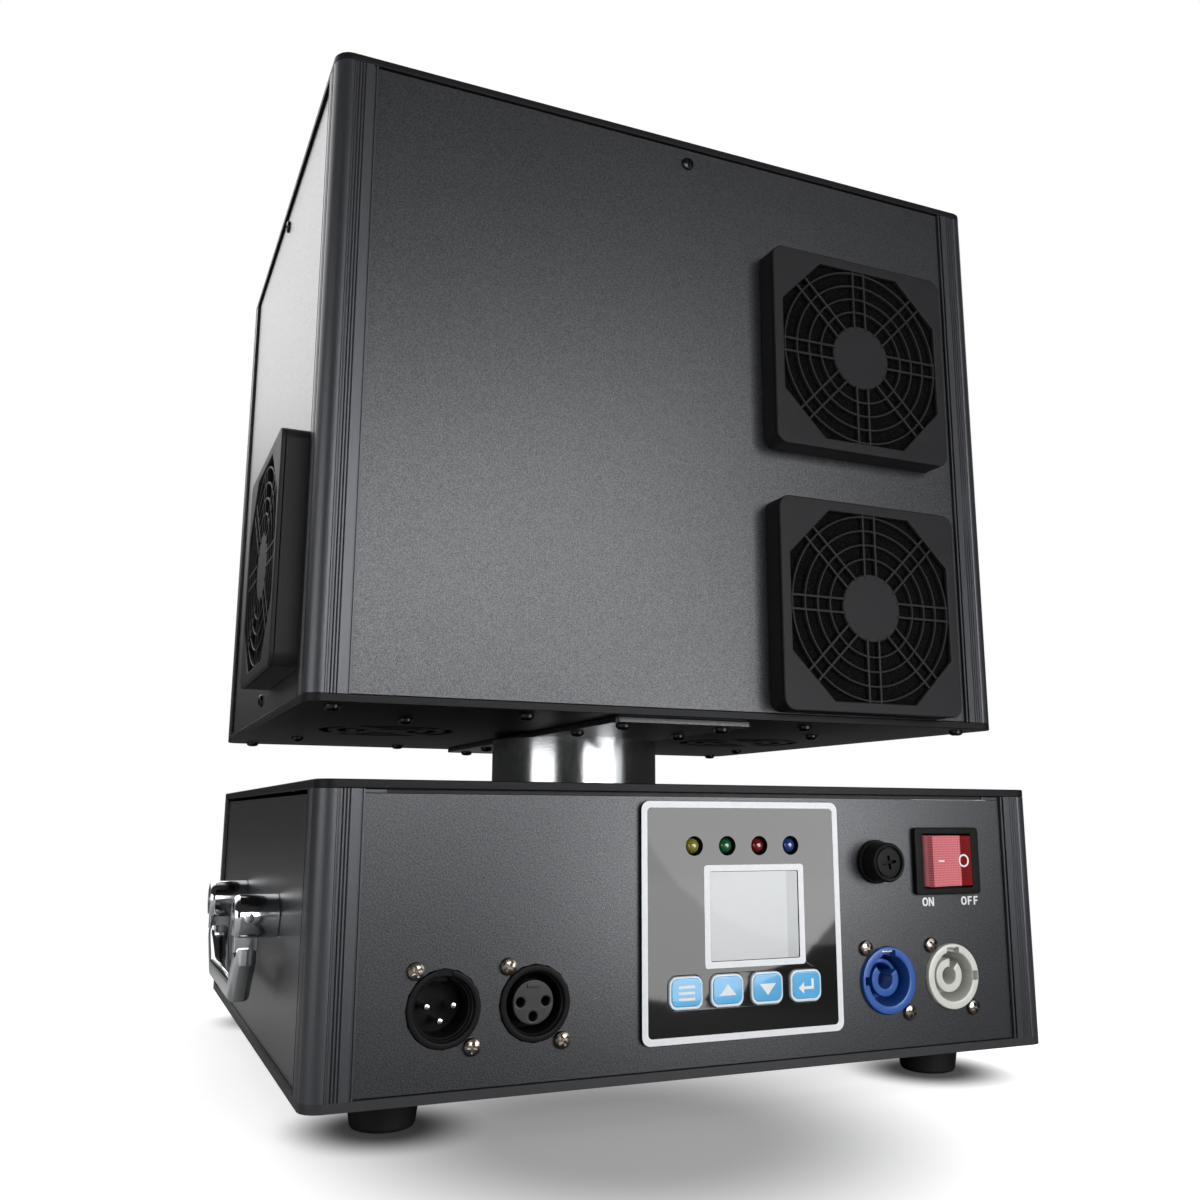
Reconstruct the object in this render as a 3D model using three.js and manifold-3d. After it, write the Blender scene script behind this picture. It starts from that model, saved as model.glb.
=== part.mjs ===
// Cold spark machine: a control base with a fluted-corner box body, and a turning head that holds two spark units.
// Millimetres. +X right, +Y back, +Z up. The origin is on the ground, under the middle of the whole outline.
import * as THREE from "three";
import { mergeVertices } from "three/addons/utils/BufferGeometryUtils.js";
import Module from "manifold-3d";

const wasm = await Module();
wasm.setup();

// Driving dimensions of the two boxes and the neck between them
const FOOT_HEIGHT = 13;
const BASE_WIDTH = 290.6;
const BASE_DEPTH = 284.6;
const BASE_HEIGHT = 99.5;
const NECK_GAP = 26;
const HEAD_WIDTH = 295.4;
const HEAD_DEPTH = 245.7;
const HEAD_HEIGHT = 243.8;

// Sheet metal and clearances that every piece shares
const PLATE_THICKNESS = 3;
const PANEL_THICKNESS = 1.5;
const CLEARANCE = 0.3;
const OVERRUN = 1;

// Levels that follow from the driving dimensions
const BASE_BOTTOM = FOOT_HEIGHT;
const BASE_TOP = BASE_BOTTOM + BASE_HEIGHT;
const HEAD_BOTTOM = BASE_TOP + NECK_GAP;
const HEAD_TOP = HEAD_BOTTOM + HEAD_HEIGHT;

const QUARTER = Math.PI / 2;
const ROUND_SIDES = 16;
const SMALL_SIDES = 8;

// A closed geometry as a solid: shared vertices merged, collapsed faces dropped, faces turned outwards
function solid(geometry) {
  const bare = geometry.clone();
  bare.deleteAttribute("normal");
  bare.deleteAttribute("uv");
  const merged = mergeVertices(bare);
  const points = merged.attributes.position.array;
  const corners = merged.index.array;
  const kept = [];
  let volume = 0;
  const a = new THREE.Vector3();
  const b = new THREE.Vector3();
  const c = new THREE.Vector3();
  for (let i = 0; i < corners.length; i += 3) {
    const [p, q, r] = [corners[i], corners[i + 1], corners[i + 2]];
    if (p === q || q === r || r === p) continue;
    kept.push([p, q, r]);
    a.fromArray(points, 3 * p);
    b.fromArray(points, 3 * q);
    c.fromArray(points, 3 * r);
    volume += a.dot(b.cross(c));
  }
  const outward = kept.map(([p, q, r]) => (volume < 0 ? [p, r, q] : [p, q, r]));
  const mesh = new wasm.Mesh({ numProp: 3, vertProperties: points, triVerts: new Uint32Array(outward.flat()) });
  return new wasm.Manifold(mesh);
}

// A rectangular block centred on x and y, standing on z
function block(width, depth, height, x = 0, y = 0, z = 0) {
  return solid(new THREE.BoxGeometry(width, depth, height).translate(x, y, z + height / 2));
}

// A round bar along z, standing on z
function bar(radius, height, x = 0, y = 0, z = 0, sides = ROUND_SIDES) {
  const geometry = new THREE.CylinderGeometry(radius, radius, height, sides);
  return solid(geometry.rotateX(QUARTER).translate(x, y, z + height / 2));
}

// A flat outline pushed up along z by its height
function pushed(outline, height, x = 0, y = 0, z = 0, curveSegments = 2) {
  const geometry = new THREE.ExtrudeGeometry(outline, { depth: height, bevelEnabled: false, curveSegments });
  return solid(geometry.translate(x, y, z));
}

// A profile of [radius, height] pairs turned about the z axis
function turned(profile, sides = ROUND_SIDES) {
  const closed = profile.map(([radius, height]) => new THREE.Vector2(radius, height));
  closed.push(closed[0].clone());
  return solid(new THREE.LatheGeometry(closed, sides).rotateX(QUARTER));
}

// A rectangle with rounded corners, centred on the origin
function roundedRectangle(width, height, radius) {
  const shape = new THREE.Shape();
  const x = width / 2 - radius;
  const y = height / 2 - radius;
  shape.absarc(x, y, radius, 0, QUARTER);
  shape.absarc(-x, y, radius, QUARTER, 2 * QUARTER);
  shape.absarc(-x, -y, radius, 2 * QUARTER, 3 * QUARTER);
  shape.absarc(x, -y, radius, 3 * QUARTER, 4 * QUARTER);
  shape.closePath();
  return shape;
}

// Pairs of signs for what stands in all four corners, front left first
const CORNER_SIGNS = [
  ["front_left", -1, -1],
  ["front_right", 1, -1],
  ["back_left", -1, 1],
  ["back_right", 1, 1],
];

// Finishes
const powderCoat = new THREE.MeshStandardMaterial({ color: 0x2b2c2e, roughness: 0.6, metalness: 0.1 });
const anodised = new THREE.MeshStandardMaterial({ color: 0x303236, roughness: 0.35, metalness: 0.7 });
const polishedSteel = new THREE.MeshStandardMaterial({ color: 0xc8cacd, roughness: 0.12, metalness: 1 });
const castSteel = new THREE.MeshStandardMaterial({ color: 0x8a8c8e, roughness: 0.45, metalness: 0.9 });
const chrome = new THREE.MeshStandardMaterial({ color: 0xdadcde, roughness: 0.08, metalness: 1 });
const blackPlastic = new THREE.MeshStandardMaterial({ color: 0x151516, roughness: 0.45, metalness: 0 });
const glossyBlack = new THREE.MeshStandardMaterial({ color: 0x0b0b0c, roughness: 0.1, metalness: 0 });
const rubber = new THREE.MeshStandardMaterial({ color: 0x101010, roughness: 0.85, metalness: 0 });
const bluePlastic = new THREE.MeshStandardMaterial({ color: 0x3f73cf, roughness: 0.4, metalness: 0 });
const greyPlastic = new THREE.MeshStandardMaterial({ color: 0xdcdcd6, roughness: 0.4, metalness: 0 });
const redPlastic = new THREE.MeshStandardMaterial({ color: 0xd41f22, roughness: 0.3, metalness: 0 });
const paleBlue = new THREE.MeshStandardMaterial({ color: 0x4fa6d8, roughness: 0.35, metalness: 0 });

// A finished solid as a named mesh in its group
function place(name, made, material, parent, x = 0, y = 0, z = 0) {
  const { vertProperties, triVerts, numProp } = made.getMesh();
  const geometry = new THREE.BufferGeometry();
  const interleaved = new THREE.InterleavedBuffer(vertProperties, numProp);
  geometry.setAttribute("position", new THREE.InterleavedBufferAttribute(interleaved, 3, 0));
  geometry.setIndex(new THREE.BufferAttribute(triVerts, 1));
  const flat = geometry.toNonIndexed();
  flat.computeVertexNormals();
  const mesh = new THREE.Mesh(flat, material);
  mesh.name = name;
  mesh.position.set(x, y, z);
  parent.add(mesh);
  return mesh;
}

const machine = new THREE.Group();
const base = new THREE.Group();
const head = new THREE.Group();
machine.add(base, head);

// A group whose own x runs right, y up and z outwards on one side of a box; the turn is counted from the front
function sideGroup(parent, turn, distance) {
  const group = new THREE.Group();
  group.rotation.order = "ZXY";
  group.rotation.set(QUARTER, 0, turn);
  group.position.set(Math.sin(turn) * distance, -Math.cos(turn) * distance, 0);
  parent.add(group);
  return group;
}
const FRONT_TURN = 0;
const RIGHT_TURN = QUARTER;
const BACK_TURN = 2 * QUARTER;
const LEFT_TURN = -QUARTER;

// Corner post: an aluminium extrusion with a round corner, fine flutes and a slot for each panel
const POST_ROUND = 6.3;
const FLUTE_START = 8.3;
const FLUTE_PITCH = 1.1;
const FLUTE_WIDTH = 0.6;
const FLUTE_DEPTH = 0.4;
const FLUTE_COUNT = 3;
const STRIP_END = 14.2;
const GROOVE_WIDTH = 0.8;
const GROOVE_DEPTH = 0.6;
const LIP_END = 15.6;
const LIP_THICKNESS = 1;
const SLOT_BOTTOM = 12.2;
const FLANGE_THICKNESS = 1.5;
const FLANGE_END = 17;
const PANEL_RECESS = LIP_THICKNESS + CLEARANCE;
const SLOT_BACK = PANEL_RECESS + PANEL_THICKNESS + CLEARANCE;
const PANEL_EDGE = SLOT_BOTTOM + CLEARANCE;
const ARC_STEPS = 2;

// Half of the post's section, from the middle of its round corner to the inner corner of its core
function postHalf() {
  const points = [];
  for (let i = 0; i <= ARC_STEPS; i++) {
    const angle = (QUARTER / 2) * (i / ARC_STEPS);
    points.push([POST_ROUND * (1 - Math.sin(QUARTER / 2 - angle)), POST_ROUND * (1 - Math.cos(QUARTER / 2 - angle))]);
  }
  for (let i = 0; i < FLUTE_COUNT; i++) {
    const start = FLUTE_START + i * FLUTE_PITCH;
    points.push([start, 0], [start + FLUTE_WIDTH / 2, FLUTE_DEPTH], [start + FLUTE_WIDTH, 0]);
  }
  points.push([STRIP_END, 0], [STRIP_END, GROOVE_DEPTH]);
  points.push([STRIP_END + GROOVE_WIDTH, GROOVE_DEPTH], [STRIP_END + GROOVE_WIDTH, 0]);
  points.push([LIP_END, 0], [LIP_END, LIP_THICKNESS], [SLOT_BOTTOM, LIP_THICKNESS]);
  points.push([SLOT_BOTTOM, SLOT_BACK], [FLANGE_END, SLOT_BACK], [FLANGE_END, SLOT_BACK + FLANGE_THICKNESS]);
  points.push([SLOT_BOTTOM, SLOT_BACK + FLANGE_THICKNESS], [SLOT_BOTTOM, SLOT_BOTTOM]);
  return points;
}

// The post's whole section is its half and the same half mirrored over the corner's diagonal
function postSolid(height) {
  const half = postHalf();
  const mirrored = half.slice(1, -1).map(([x, y]) => [y, x]);
  const outline = [...half, ...mirrored.reverse()].map(([x, y]) => new THREE.Vector2(x, y));
  return pushed(new THREE.Shape(outline), height);
}

// The four posts of a box, each turned so that its round corner faces outwards
function placePosts(prefix, parent, width, depth, bottom, height) {
  const turns = [0, QUARTER, -QUARTER, 2 * QUARTER];
  CORNER_SIGNS.forEach(([corner, sx, sy], i) => {
    const post = place(`${prefix}_post_${corner}`, postSolid(height), anodised, parent);
    post.position.set((sx * width) / 2, (sy * depth) / 2, bottom);
    post.rotation.z = turns[i];
  });
}

// Inside height of a box, between its bottom and top plates
const BASE_INSIDE = BASE_HEIGHT - 2 * PLATE_THICKNESS;
const HEAD_INSIDE = HEAD_HEIGHT - 2 * PLATE_THICKNESS;
const BASE_FLOOR = BASE_BOTTOM + PLATE_THICKNESS;
const HEAD_FLOOR = HEAD_BOTTOM + PLATE_THICKNESS;

// Rubber feet, tapering down to a rounded tread with a screw recess
const FOOT_TOP_RADIUS = 12.5;
const FOOT_TREAD_RADIUS = 10.8;
const FOOT_TREAD_ROUND = 1.6;
const FOOT_RECESS_RADIUS = 4;
const FOOT_RECESS_DEPTH = 6;
const FOOT_COLLAR = 2;
const FOOT_INSET = 32.5;
const FOOT_SIDES = 12;

function footSolid() {
  return turned(
    [
      [0, FOOT_RECESS_DEPTH],
      [FOOT_RECESS_RADIUS, FOOT_RECESS_DEPTH],
      [FOOT_RECESS_RADIUS, 0],
      [FOOT_TREAD_RADIUS - FOOT_TREAD_ROUND, 0],
      [FOOT_TREAD_RADIUS, FOOT_TREAD_ROUND],
      [FOOT_TOP_RADIUS, FOOT_HEIGHT - FOOT_COLLAR],
      [FOOT_TOP_RADIUS, FOOT_HEIGHT],
      [0, FOOT_HEIGHT],
    ],
    FOOT_SIDES,
  );
}
for (const [corner, sx, sy] of CORNER_SIGNS) {
  const x = sx * (BASE_WIDTH / 2 - FOOT_INSET);
  const y = sy * (BASE_DEPTH / 2 - FOOT_INSET);
  place(`foot_${corner}`, footSolid(), rubber, base, x, y);
}

// Neck tube, its captured collar and the drive pulley that is fixed to it
const TUBE_RADIUS = 39;
const TUBE_WALL = 3;
const TUBE_CLEARANCE = 0.6;
const COLLAR_RADIUS = 46;
const COLLAR_HEIGHT = 10;
const BEARING_RADIUS = 56;
const BEARING_CAP = 8;
const BEARING_LIP = 3;
const PULLEY_RADIUS = 60;
const PULLEY_HEIGHT = 12;
const BELT_WIDTH = 10;
const PULLEY_DROP = 8;
const TUBE_TAIL = 4;
const TUBE_SIDES = 32;
const SWIVEL_WIDTH = 60;
const SWIVEL_INSET = 7.85;
const SWIVEL_THICKNESS = 2.3;
const SWIVEL_CABLE_RADIUS = 22;
const SWIVEL_ROUND = 2;

const BASE_CEILING = BASE_TOP - PLATE_THICKNESS;
const COLLAR_TOP = BASE_CEILING - BEARING_CAP - CLEARANCE;
const COLLAR_BOTTOM = COLLAR_TOP - COLLAR_HEIGHT;
const BEARING_BOTTOM = COLLAR_BOTTOM - CLEARANCE - BEARING_LIP;
const PULLEY_TOP = BEARING_BOTTOM - PULLEY_DROP;
const PULLEY_BOTTOM = PULLEY_TOP - PULLEY_HEIGHT;
const SWIVEL_BOTTOM = HEAD_BOTTOM - SWIVEL_THICKNESS;

function neckTube() {
  const bore = TUBE_RADIUS - TUBE_WALL;
  return turned(
    [
      [bore, PULLEY_BOTTOM - TUBE_TAIL],
      [TUBE_RADIUS, PULLEY_BOTTOM - TUBE_TAIL],
      [TUBE_RADIUS, PULLEY_BOTTOM],
      [PULLEY_RADIUS, PULLEY_BOTTOM],
      [PULLEY_RADIUS, PULLEY_TOP],
      [TUBE_RADIUS, PULLEY_TOP],
      [TUBE_RADIUS, COLLAR_BOTTOM],
      [COLLAR_RADIUS, COLLAR_BOTTOM],
      [COLLAR_RADIUS, COLLAR_TOP],
      [TUBE_RADIUS, COLLAR_TOP],
      [TUBE_RADIUS, SWIVEL_BOTTOM],
      [bore, SWIVEL_BOTTOM],
    ],
    TUBE_SIDES,
  );
}
place("neck_tube", neckTube(), polishedSteel, head);

// Swivel plate: the strap that bolts the tube under the head
const swivelDepth = HEAD_DEPTH - 2 * SWIVEL_INSET;
const swivelOutline = roundedRectangle(SWIVEL_WIDTH, swivelDepth, SWIVEL_ROUND);
const swivelStrap = pushed(swivelOutline, SWIVEL_THICKNESS);
const swivelHole = bar(SWIVEL_CABLE_RADIUS, SWIVEL_THICKNESS + 2 * OVERRUN, 0, 0, -OVERRUN);
place("swivel_plate", swivelStrap.subtract(swivelHole), powderCoat, head, 0, 0, SWIVEL_BOTTOM);

// Base top plate, with the bearing housing that captures the tube's collar under it
function basePlate() {
  return pushed(roundedRectangle(BASE_WIDTH, BASE_DEPTH, POST_ROUND), PLATE_THICKNESS);
}
function bearingHousing() {
  const bore = TUBE_RADIUS + TUBE_CLEARANCE;
  const pocket = COLLAR_RADIUS + TUBE_CLEARANCE;
  const pocketBottom = COLLAR_BOTTOM - CLEARANCE;
  const pocketTop = COLLAR_TOP + CLEARANCE;
  return turned(
    [
      [bore, BEARING_BOTTOM],
      [BEARING_RADIUS, BEARING_BOTTOM],
      [BEARING_RADIUS, BASE_TOP - PLATE_THICKNESS / 2],
      [bore, BASE_TOP - PLATE_THICKNESS / 2],
      [bore, pocketTop],
      [pocket, pocketTop],
      [pocket, pocketBottom],
      [bore, pocketBottom],
    ],
    TUBE_SIDES,
  );
}
const neckHole = bar(
  TUBE_RADIUS + TUBE_CLEARANCE,
  PLATE_THICKNESS + 2 * OVERRUN,
  0,
  0,
  BASE_CEILING - OVERRUN,
  TUBE_SIDES,
);
const baseTop = basePlate().translate(0, 0, BASE_CEILING).subtract(neckHole).add(bearingHousing());
place("base_top_plate", baseTop, powderCoat, base);

// Base bottom plate, with the power supply and the control board fixed on it
const SUPPLY_WIDTH = 110;
const SUPPLY_DEPTH = 60;
const SUPPLY_HEIGHT = 34;
const SUPPLY_SIDE_GAP = 28.3;
const SUPPLY_BACK_GAP = 17.3;
const BOARD_WIDTH = 90;
const BOARD_DEPTH = 60;
const BOARD_THICKNESS = 1.6;
const BOARD_SIDE_GAP = 22.3;
const BOARD_SUPPLY_GAP = 65;
const STANDOFF_RADIUS = 3;
const STANDOFF_HEIGHT = 8;
const STANDOFF_INSET = 5;
const supplyX = BASE_WIDTH / 2 - SUPPLY_SIDE_GAP - SUPPLY_WIDTH / 2;
const supplyY = BASE_DEPTH / 2 - SUPPLY_BACK_GAP - SUPPLY_DEPTH / 2;
const boardX = BASE_WIDTH / 2 - BOARD_SIDE_GAP - BOARD_WIDTH / 2;
const boardY = supplyY - SUPPLY_DEPTH / 2 - BOARD_SUPPLY_GAP - BOARD_DEPTH / 2;

function boardOnStandoffs() {
  const level = PLATE_THICKNESS + STANDOFF_HEIGHT;
  let made = block(BOARD_WIDTH, BOARD_DEPTH, BOARD_THICKNESS, boardX, boardY, level);
  for (const [, sx, sy] of CORNER_SIGNS) {
    const x = boardX + sx * (BOARD_WIDTH / 2 - STANDOFF_INSET);
    const y = boardY + sy * (BOARD_DEPTH / 2 - STANDOFF_INSET);
    const length = level + BOARD_THICKNESS / 2 - PLATE_THICKNESS / 2;
    made = made.add(bar(STANDOFF_RADIUS, length, x, y, PLATE_THICKNESS / 2, 8));
  }
  return made;
}
const supplyBottom = PLATE_THICKNESS / 2;
const supply = block(SUPPLY_WIDTH, SUPPLY_DEPTH, SUPPLY_HEIGHT + supplyBottom, supplyX, supplyY, supplyBottom);
const baseBottom = basePlate().add(supply).add(boardOnStandoffs());
place("base_bottom_plate", baseBottom, powderCoat, base, 0, 0, BASE_BOTTOM);

placePosts("base", base, BASE_WIDTH, BASE_DEPTH, BASE_FLOOR, BASE_INSIDE);
placePosts("head", head, HEAD_WIDTH, HEAD_DEPTH, HEAD_FLOOR, HEAD_INSIDE);

// A side panel: a flat sheet held in the slots of two posts, with its outer face at z = 0
function panelSheet(boxWidth, height) {
  return block(boxWidth - 2 * PANEL_EDGE, height, PANEL_THICKNESS, 0, height / 2, -PANEL_THICKNESS);
}

const baseFrontSide = sideGroup(base, FRONT_TURN, BASE_DEPTH / 2 - PANEL_RECESS);
const baseRightSide = sideGroup(base, RIGHT_TURN, BASE_WIDTH / 2 - PANEL_RECESS);
const baseBackSide = sideGroup(base, BACK_TURN, BASE_DEPTH / 2 - PANEL_RECESS);
const baseLeftSide = sideGroup(base, LEFT_TURN, BASE_WIDTH / 2 - PANEL_RECESS);
const headFrontSide = sideGroup(head, FRONT_TURN, HEAD_DEPTH / 2 - PANEL_RECESS);
const headRightSide = sideGroup(head, RIGHT_TURN, HEAD_WIDTH / 2 - PANEL_RECESS);
const headBackSide = sideGroup(head, BACK_TURN, HEAD_DEPTH / 2 - PANEL_RECESS);
const headLeftSide = sideGroup(head, LEFT_TURN, HEAD_WIDTH / 2 - PANEL_RECESS);

// The base's panels stop short of the top plate, which leaves the narrow slot seen above them
const TOP_SLOT = 1.5;
const PANEL_SEAT = CLEARANCE;
const BASE_PANEL_HEIGHT = BASE_INSIDE - TOP_SLOT - PANEL_SEAT;
const RETURN_DEPTH = 10;
const RETURN_MARGIN = FLANGE_END + CLEARANCE;
const BASE_PANEL_LEVEL = BASE_FLOOR + PANEL_SEAT;

// A base panel with its upper edge bent back
function basePanel(boxWidth) {
  const returnWidth = boxWidth - 2 * RETURN_MARGIN;
  const top = BASE_PANEL_HEIGHT - PANEL_THICKNESS / 2;
  const bend = block(returnWidth, PANEL_THICKNESS, RETURN_DEPTH, 0, top, -RETURN_DEPTH);
  return panelSheet(boxWidth, BASE_PANEL_HEIGHT).add(bend);
}

// The control panel's layout: a pair of sockets on each side, the display between them, fuse and switch above
const SOCKET_Z = 27.8;
const SOCKET_FLANGE_WIDTH = 26;
const DATA_PITCH = 30.9;
const POWER_PITCH = 30.4;
const DATA_PAIR_SHARE = 0.5943;
const POWER_PAIR_SHARE = 0.5912;
const FASCIA_WIDTH = 82;
const FASCIA_LEFT_SHARE = 0.747;
const FASCIA_BELOW = 11.5;
const FASCIA_ABOVE = 6;
const FUSE_BACKSET = 3.7;
const SWITCH_BACKSET = 0.5;
const SWITCH_DROP = 28.1;

const dataInX = (-DATA_PAIR_SHARE * BASE_WIDTH) / 2 - DATA_PITCH / 2;
const dataOutX = dataInX + DATA_PITCH;
const powerInX = (POWER_PAIR_SHARE * BASE_WIDTH) / 2 - POWER_PITCH / 2;
const powerOutX = powerInX + POWER_PITCH;
const fuseX = powerInX - FUSE_BACKSET;
const switchX = powerOutX - SWITCH_BACKSET;
const switchZ = BASE_HEIGHT - SWITCH_DROP;
const fasciaHeight = BASE_HEIGHT - FASCIA_BELOW - FASCIA_ABOVE;
const fasciaSpare = powerInX - dataOutX - SOCKET_FLANGE_WIDTH - FASCIA_WIDTH;
const fasciaLeft = dataOutX + SOCKET_FLANGE_WIDTH / 2 + FASCIA_LEFT_SHARE * fasciaSpare;
const displayX = fasciaLeft + FASCIA_WIDTH / 2;
const displayZ = FASCIA_BELOW + fasciaHeight / 2;
const toPanel = (level) => level - PLATE_THICKNESS - PANEL_SEAT;

// Panel sockets: a barrel through the panel, a flange behind it and a hollow for the plug
const SOCKET_RADIUS = 12.2;
const SOCKET_HOLE_RADIUS = SOCKET_RADIUS + CLEARANCE;
const SOCKET_FLANGE_HEIGHT = 31;
const SOCKET_FLANGE_THICKNESS = 2;
const SOCKET_PROUD = 1;
const SOCKET_DEPTH = 24;
const SOCKET_SIDES = 16;
const PLUG_RADIUS = 9.6;
const PLUG_DEPTH = 16;
const PIN_RADIUS = 1.25;
const PIN_CIRCLE = 4.4;
const PIN_RECESS = 5;
const PIN_SIDES = 6;
const INSERT_RADIUS = 7.7;
const INSERT_RECESS = 1.2;
const CONTACT_RADIUS = 1.5;
const CONTACT_DEPTH = 8;
const PIN_ANGLES = [0, 2 * QUARTER, -QUARTER];

// The barrel and its flange, with the outer face proud of the panel
function socketBody() {
  const barrel = bar(SOCKET_RADIUS, SOCKET_DEPTH, 0, 0, SOCKET_PROUD - SOCKET_DEPTH, SOCKET_SIDES);
  const flangeTop = -PANEL_THICKNESS - CLEARANCE;
  const flange = block(
    SOCKET_FLANGE_WIDTH,
    SOCKET_FLANGE_HEIGHT,
    SOCKET_FLANGE_THICKNESS,
    0,
    0,
    flangeTop - SOCKET_FLANGE_THICKNESS,
  );
  return barrel.add(flange);
}
function plugHollow(radius, depth) {
  return bar(radius, depth + OVERRUN, 0, 0, SOCKET_PROUD - depth, SOCKET_SIDES);
}

// Data input: three pins stand in the hollow
function dataInSocket() {
  let made = socketBody().subtract(plugHollow(PLUG_RADIUS, PLUG_DEPTH));
  for (const angle of PIN_ANGLES) {
    const [x, y] = [PIN_CIRCLE * Math.cos(angle), PIN_CIRCLE * Math.sin(angle)];
    const bottom = SOCKET_PROUD - PLUG_DEPTH - OVERRUN;
    const length = PLUG_DEPTH + OVERRUN - PIN_RECESS;
    made = made.add(bar(PIN_RADIUS, length, x, y, bottom, PIN_SIDES));
  }
  return made;
}

// Data output: a round insert with three contact holes stands in the hollow
function dataOutSocket() {
  let made = socketBody().subtract(plugHollow(PLUG_RADIUS, PLUG_DEPTH));
  const length = PLUG_DEPTH + OVERRUN - INSERT_RECESS;
  made = made.add(bar(INSERT_RADIUS, length, 0, 0, SOCKET_PROUD - PLUG_DEPTH - OVERRUN, SOCKET_SIDES));
  for (const angle of PIN_ANGLES) {
    const [x, y] = [PIN_CIRCLE * Math.cos(angle), PIN_CIRCLE * Math.sin(angle)];
    const depth = CONTACT_DEPTH + INSERT_RECESS;
    made = made.subtract(bar(CONTACT_RADIUS, depth + OVERRUN, x, y, SOCKET_PROUD - depth, PIN_SIDES));
  }
  return made;
}

// Power sockets: a hollow core stands in the hollow, which has a key notch at the top
const POWER_BORE_RADIUS = 9.4;
const POWER_CORE_RADIUS = 6.2;
const POWER_CORE_BORE = 3;
const POWER_CORE_RECESS = 5;
const POWER_CORE_SLOT = 3;
const KEY_WIDTH = 5.5;
const KEY_REACH = 10.8;

// The key faces up on the input and the core's slot is turned, so that the two never take each other's plug
function powerSocket(slotAngle) {
  const notch = block(KEY_WIDTH, KEY_REACH, PLUG_DEPTH, 0, KEY_REACH / 2, SOCKET_PROUD - PLUG_DEPTH + OVERRUN);
  let made = socketBody().subtract(plugHollow(POWER_BORE_RADIUS, PLUG_DEPTH)).subtract(notch);
  const coreBottom = SOCKET_PROUD - PLUG_DEPTH - OVERRUN;
  const coreLength = PLUG_DEPTH + OVERRUN - POWER_CORE_RECESS;
  const core = bar(POWER_CORE_RADIUS, coreLength, 0, 0, coreBottom, SOCKET_SIDES);
  const bore = bar(POWER_CORE_BORE, coreLength, 0, 0, coreBottom + 2 * OVERRUN, PIN_SIDES);
  const slot = block(POWER_CORE_RADIUS + OVERRUN, POWER_CORE_SLOT, coreLength, (POWER_CORE_RADIUS + OVERRUN) / 2);
  const turnedSlot = slot.translate(0, 0, coreBottom + 2 * OVERRUN).rotate([0, 0, slotAngle]);
  made = made.add(core.subtract(bore).subtract(turnedSlot));
  return made;
}
const POWER_IN_SLOT_ANGLE = 150;
const POWER_OUT_SLOT_ANGLE = 100;

const socketLevel = BASE_BOTTOM + SOCKET_Z;
place("data_in_socket", dataInSocket(), blackPlastic, baseFrontSide, dataInX, socketLevel);
place("data_out_socket", dataOutSocket(), blackPlastic, baseFrontSide, dataOutX, socketLevel);
place("power_in_socket", powerSocket(POWER_IN_SLOT_ANGLE), bluePlastic, baseFrontSide, powerInX, socketLevel);
place("power_out_socket", powerSocket(POWER_OUT_SLOT_ANGLE), greyPlastic, baseFrontSide, powerOutX, socketLevel);

// Fuse holder with a turning cap: the cap's stem sits in the holder's bore
const FUSE_FLANGE_RADIUS = 9;
const FUSE_FLANGE_THICKNESS = 1.8;
const FUSE_BODY_RADIUS = 6.4;
const FUSE_BODY_DEPTH = 30;
const FUSE_BORE_RADIUS = 4.2;
const FUSE_STEM_RADIUS = 3.8;
const FUSE_STEM_DEPTH = 12;
const FUSE_CAP_RADIUS = 7.2;
const FUSE_CAP_LENGTH = 7;
const FUSE_CAP_CHAMFER = 1;
const FUSE_SLOT_WIDTH = 1.6;
const FUSE_SLOT_DEPTH = 1.2;
const FUSE_SIDES = 12;

function fuseHolder() {
  const flange = bar(FUSE_FLANGE_RADIUS, FUSE_FLANGE_THICKNESS, 0, 0, CLEARANCE, FUSE_SIDES);
  const body = bar(FUSE_BODY_RADIUS, FUSE_BODY_DEPTH, 0, 0, CLEARANCE - FUSE_BODY_DEPTH + OVERRUN, FUSE_SIDES);
  const boreBottom = -FUSE_STEM_DEPTH - CLEARANCE;
  const boreLength = FUSE_STEM_DEPTH + FUSE_FLANGE_THICKNESS + 2 * OVERRUN;
  return flange.add(body).subtract(bar(FUSE_BORE_RADIUS, boreLength, 0, 0, boreBottom, FUSE_SIDES));
}
const FUSE_CAP_SEAT = CLEARANCE + FUSE_FLANGE_THICKNESS + CLEARANCE;
function fuseCap() {
  const top = FUSE_CAP_SEAT + FUSE_CAP_LENGTH;
  const capBody = turned(
    [
      [0, -FUSE_STEM_DEPTH],
      [FUSE_STEM_RADIUS, -FUSE_STEM_DEPTH],
      [FUSE_STEM_RADIUS, FUSE_CAP_SEAT],
      [FUSE_CAP_RADIUS, FUSE_CAP_SEAT],
      [FUSE_CAP_RADIUS, top - FUSE_CAP_CHAMFER],
      [FUSE_CAP_RADIUS - FUSE_CAP_CHAMFER, top],
      [0, top],
    ],
    FUSE_SIDES,
  );
  const reach = 2 * FUSE_CAP_RADIUS + OVERRUN;
  const cut = FUSE_SLOT_DEPTH + OVERRUN;
  const across = block(reach, FUSE_SLOT_WIDTH, cut, 0, 0, top - FUSE_SLOT_DEPTH);
  const upright = block(FUSE_SLOT_WIDTH, reach, cut, 0, 0, top - FUSE_SLOT_DEPTH);
  return capBody.subtract(across).subtract(upright);
}
const switchLevel = BASE_BOTTOM + switchZ;

// The fuse cap is what stands out furthest at the front, so both boxes move back by half of its reach
const outlineShift = (FUSE_CAP_SEAT + FUSE_CAP_LENGTH - PANEL_RECESS) / 2;
base.position.y = outlineShift;
head.position.y = outlineShift;
place("fuse_holder", fuseHolder(), blackPlastic, baseFrontSide, fuseX, switchLevel);
place("fuse_cap", fuseCap(), blackPlastic, baseFrontSide, fuseX, switchLevel);

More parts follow.
